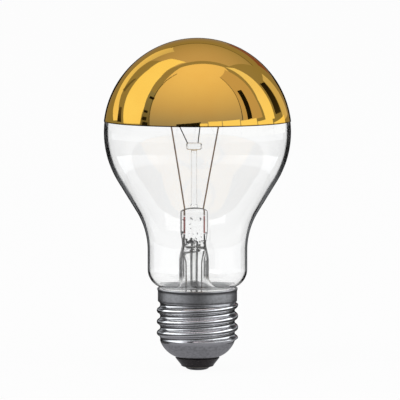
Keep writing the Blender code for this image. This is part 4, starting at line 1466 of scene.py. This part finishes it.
    def lay_floor(self) -> None:
        """Lay the pale floor, which keeps a soft shadow."""
        clear_selection()
        bpy.ops.mesh.primitive_plane_add(size=16.0, location=(0.0, 0.0, 0.0))
        floor = bpy.context.object
        floor.name = "studio_floor"
        paper = NodePaper("pale floor")
        grain = paper.noise((30.0, 30.0, 30.0), 2.0)
        paper.link(paper.ranged(grain, 0.0, 1.0, 0.86, 0.90), paper.shader.inputs["Base Color"])
        paper.set(Roughness=1.0, Specular_IOR_Level=0.0)
        glow = paper.tree.nodes.new("ShaderNodeEmission")
        glow.inputs["Color"].default_value = (1.0, 1.0, 1.0, 1.0)
        mix = paper.tree.nodes.new("ShaderNodeMixShader")
        paper.link(self.seen_share(paper.tree, 0.0, self.shown_on_floor(paper.tree)), mix.inputs[0])
        paper.link(paper.shader.outputs[0], mix.inputs[1])
        paper.link(glow.outputs[0], mix.inputs[2])
        paper.link(mix.outputs[0], paper.tree.nodes["Material Output"].inputs["Surface"])
        floor.data.materials.append(paper.material)

    def glow_material(self, name: str, start: float, end: float, colours: Sequence[Point]) -> bpy.types.Material:
        """Return a material that only shines, with a colour that changes with height.

        Args:
            name: The material's name.
            start: The height of the first colour in metres.
            end: The height of the last colour in metres.
            colours: The colours, evenly spread from the first to the last.

        Returns:
            The material.
        """
        paper = NodePaper(name)
        share = paper.tree.nodes.new("ShaderNodeMapRange")
        share.inputs["From Min"].default_value = start
        share.inputs["From Max"].default_value = end
        paper.link(paper.height(), share.inputs["Value"])
        stops = [(index / (len(colours) - 1), colour) for index, colour in enumerate(colours)]
        glow = paper.tree.nodes.new("ShaderNodeEmission")
        paper.link(paper.ramp(share.outputs["Result"], stops), glow.inputs["Color"])
        paper.link(glow.outputs[0], paper.tree.nodes["Material Output"].inputs["Surface"])
        return paper.material

    def hide_from_camera(self, item: bpy.types.Object) -> None:
        """Let only reflections see a stage object."""
        item.visible_camera = False
        item.visible_diffuse = False
        item.visible_transmission = False
        item.visible_shadow = False
        item.visible_volume_scatter = False

    def direction(self, azimuth: float, elevation: float) -> Vector:
        """Return the unit direction of an azimuth and an elevation in degrees."""
        a, e = math.radians(azimuth), math.radians(elevation)
        return Vector((math.cos(e) * math.sin(a), -math.cos(e) * math.cos(a), math.sin(e)))

    def hang_card(self, card: Card) -> None:
        """Hang one card with its rows in their directions."""
        clear_selection()
        steps = len(card.rows) - 1
        bpy.ops.mesh.primitive_grid_add(x_subdivisions=12, y_subdivisions=12 * steps, size=1.0, location=(0.0, 0.0, 0.0))
        item = bpy.context.object
        item.name = card.name
        rows = [[self.direction(*end) if card.straight else Vector((*end, 0.0)) for end in row] for row in card.rows]
        focus = Vector((0.0, 0.0, card.focus_z))
        for vert in item.data.vertices:
            u, v = vert.co.x + 0.5, (vert.co.y + 0.5) * steps
            row = min(int(v), steps - 1)
            spot = rows[row][0].lerp(rows[row][1], u).lerp(rows[row + 1][0].lerp(rows[row + 1][1], u), v - row)
            towards = spot.normalized() if card.straight else self.direction(spot.x, spot.y)
            vert.co = focus + towards * card.distance
        heights = [vert.co.z for vert in item.data.vertices]
        colours = (card.low, card.high) if card.middle is None else (card.low, card.middle, card.high)
        item.data.materials.append(self.glow_material(card.name, min(heights), max(heights), colours))
        self.hide_from_camera(item)

    def build_room(self) -> None:
        """Raise the dim room and lay the grey table that reflections see beyond the cards."""
        clear_selection()
        bpy.ops.mesh.primitive_uv_sphere_add(segments=48, ring_count=24, radius=3.0, location=self.focus)
        item = bpy.context.object
        item.name = "studio_room"
        bpy.ops.object.mode_set(mode="EDIT")
        bpy.ops.mesh.select_all(action="SELECT")
        bpy.ops.mesh.bisect(plane_co=(0.0, 0.0, 0.0), plane_no=(0.0, 0.0, 1.0), clear_inner=True)
        bpy.ops.object.mode_set(mode="OBJECT")
        item.data.materials.append(self.glow_material("studio_room", 0.0, 2.6, (self.room_low, self.room_high)))
        self.hide_from_camera(item)
        for name, left, front, right, back, z, level in (
            ("table_card", -3.0, -3.0, 3.0, 3.0, 0.00005, self.table_level),
            ("table_shadow", -0.09, -0.09, 0.09, 0.05, 0.0001, self.shadow_level),
            ("table_near", -0.025, -0.025, 0.025, 0.025, 0.00015, self.near_level),
            ("table_flag", -0.045, -0.42, 0.075, -0.09, 0.0001, self.flag_level),
            ("table_back", -1.5, 0.05, 1.5, 3.0, 0.0001, self.back_level),
        ):
            clear_selection()
            bpy.ops.mesh.primitive_plane_add(size=1.0, location=((left + right) / 2.0, (front + back) / 2.0, z))
            sheet = bpy.context.object
            sheet.name = name
            sheet.scale = (right - left, back - front, 1.0)
            sheet.data.materials.append(self.glow_material(name, 0.0, 1.0, (level, level)))
            self.hide_from_camera(sheet)

    def hang_light(self, name: str, place: Point, size: float, power: float) -> None:
        """Hang a soft lamp aimed at the object.

        Args:
            name: The lamp's name.
            place: Where it hangs.
            size: The length of its side.
            power: Its power in watts.
        """
        bpy.ops.object.light_add(type="AREA", location=place)
        lamp = bpy.context.object
        lamp.name = name
        lamp.data.energy = power
        lamp.data.size = size
        lamp.visible_glossy = False
        lamp.rotation_euler = (Vector(self.focus) - Vector(place)).to_track_quat("-Z", "Y").to_euler()

    def set_camera(self) -> None:
        """Set the camera at the photograph's angle."""
        bpy.ops.object.camera_add(location=self.camera_place)
        camera = bpy.context.object
        camera.data.lens = self.focal
        camera.data.sensor_width = self.sensor
        camera.data.clip_end = 50.0
        aim = Vector(self.camera_aim) - Vector(self.camera_place)
        camera.rotation_euler = aim.to_track_quat("-Z", "Y").to_euler()
        bpy.context.scene.camera = camera

    def build(self) -> None:
        """Set the whole studio."""
        self.paint_world()
        self.lay_floor()
        self.build_room()
        for card in (*self.wall_cards(), *self.light_cards(), *self.dark_cards()):
            self.hang_card(card)
        self.hang_light("key_lamp", (-1.2, -1.0, 1.6), 1.4, 9.0)
        self.hang_light("fill_lamp", (1.4, -0.8, 1.2), 1.4, 6.0)
        self.set_camera()
        bpy.context.scene.view_settings.view_transform = "Standard"


def corners(box: tuple[Vector, Vector]) -> list[list[float]]:
    """Return a box's two corners as plain lists."""
    return [[float(value) for value in corner] for corner in box]


def main() -> None:
    """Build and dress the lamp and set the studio."""
    logging.basicConfig(level=logging.INFO, format="%(message)s")
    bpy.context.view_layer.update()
    bulb = GlassBulb()
    ScrewCap().build()
    bulb.build()
    MirrorCrown(bulb).build()
    Mount().build()
    Studio().build()


if __name__ == "__main__":
    main()
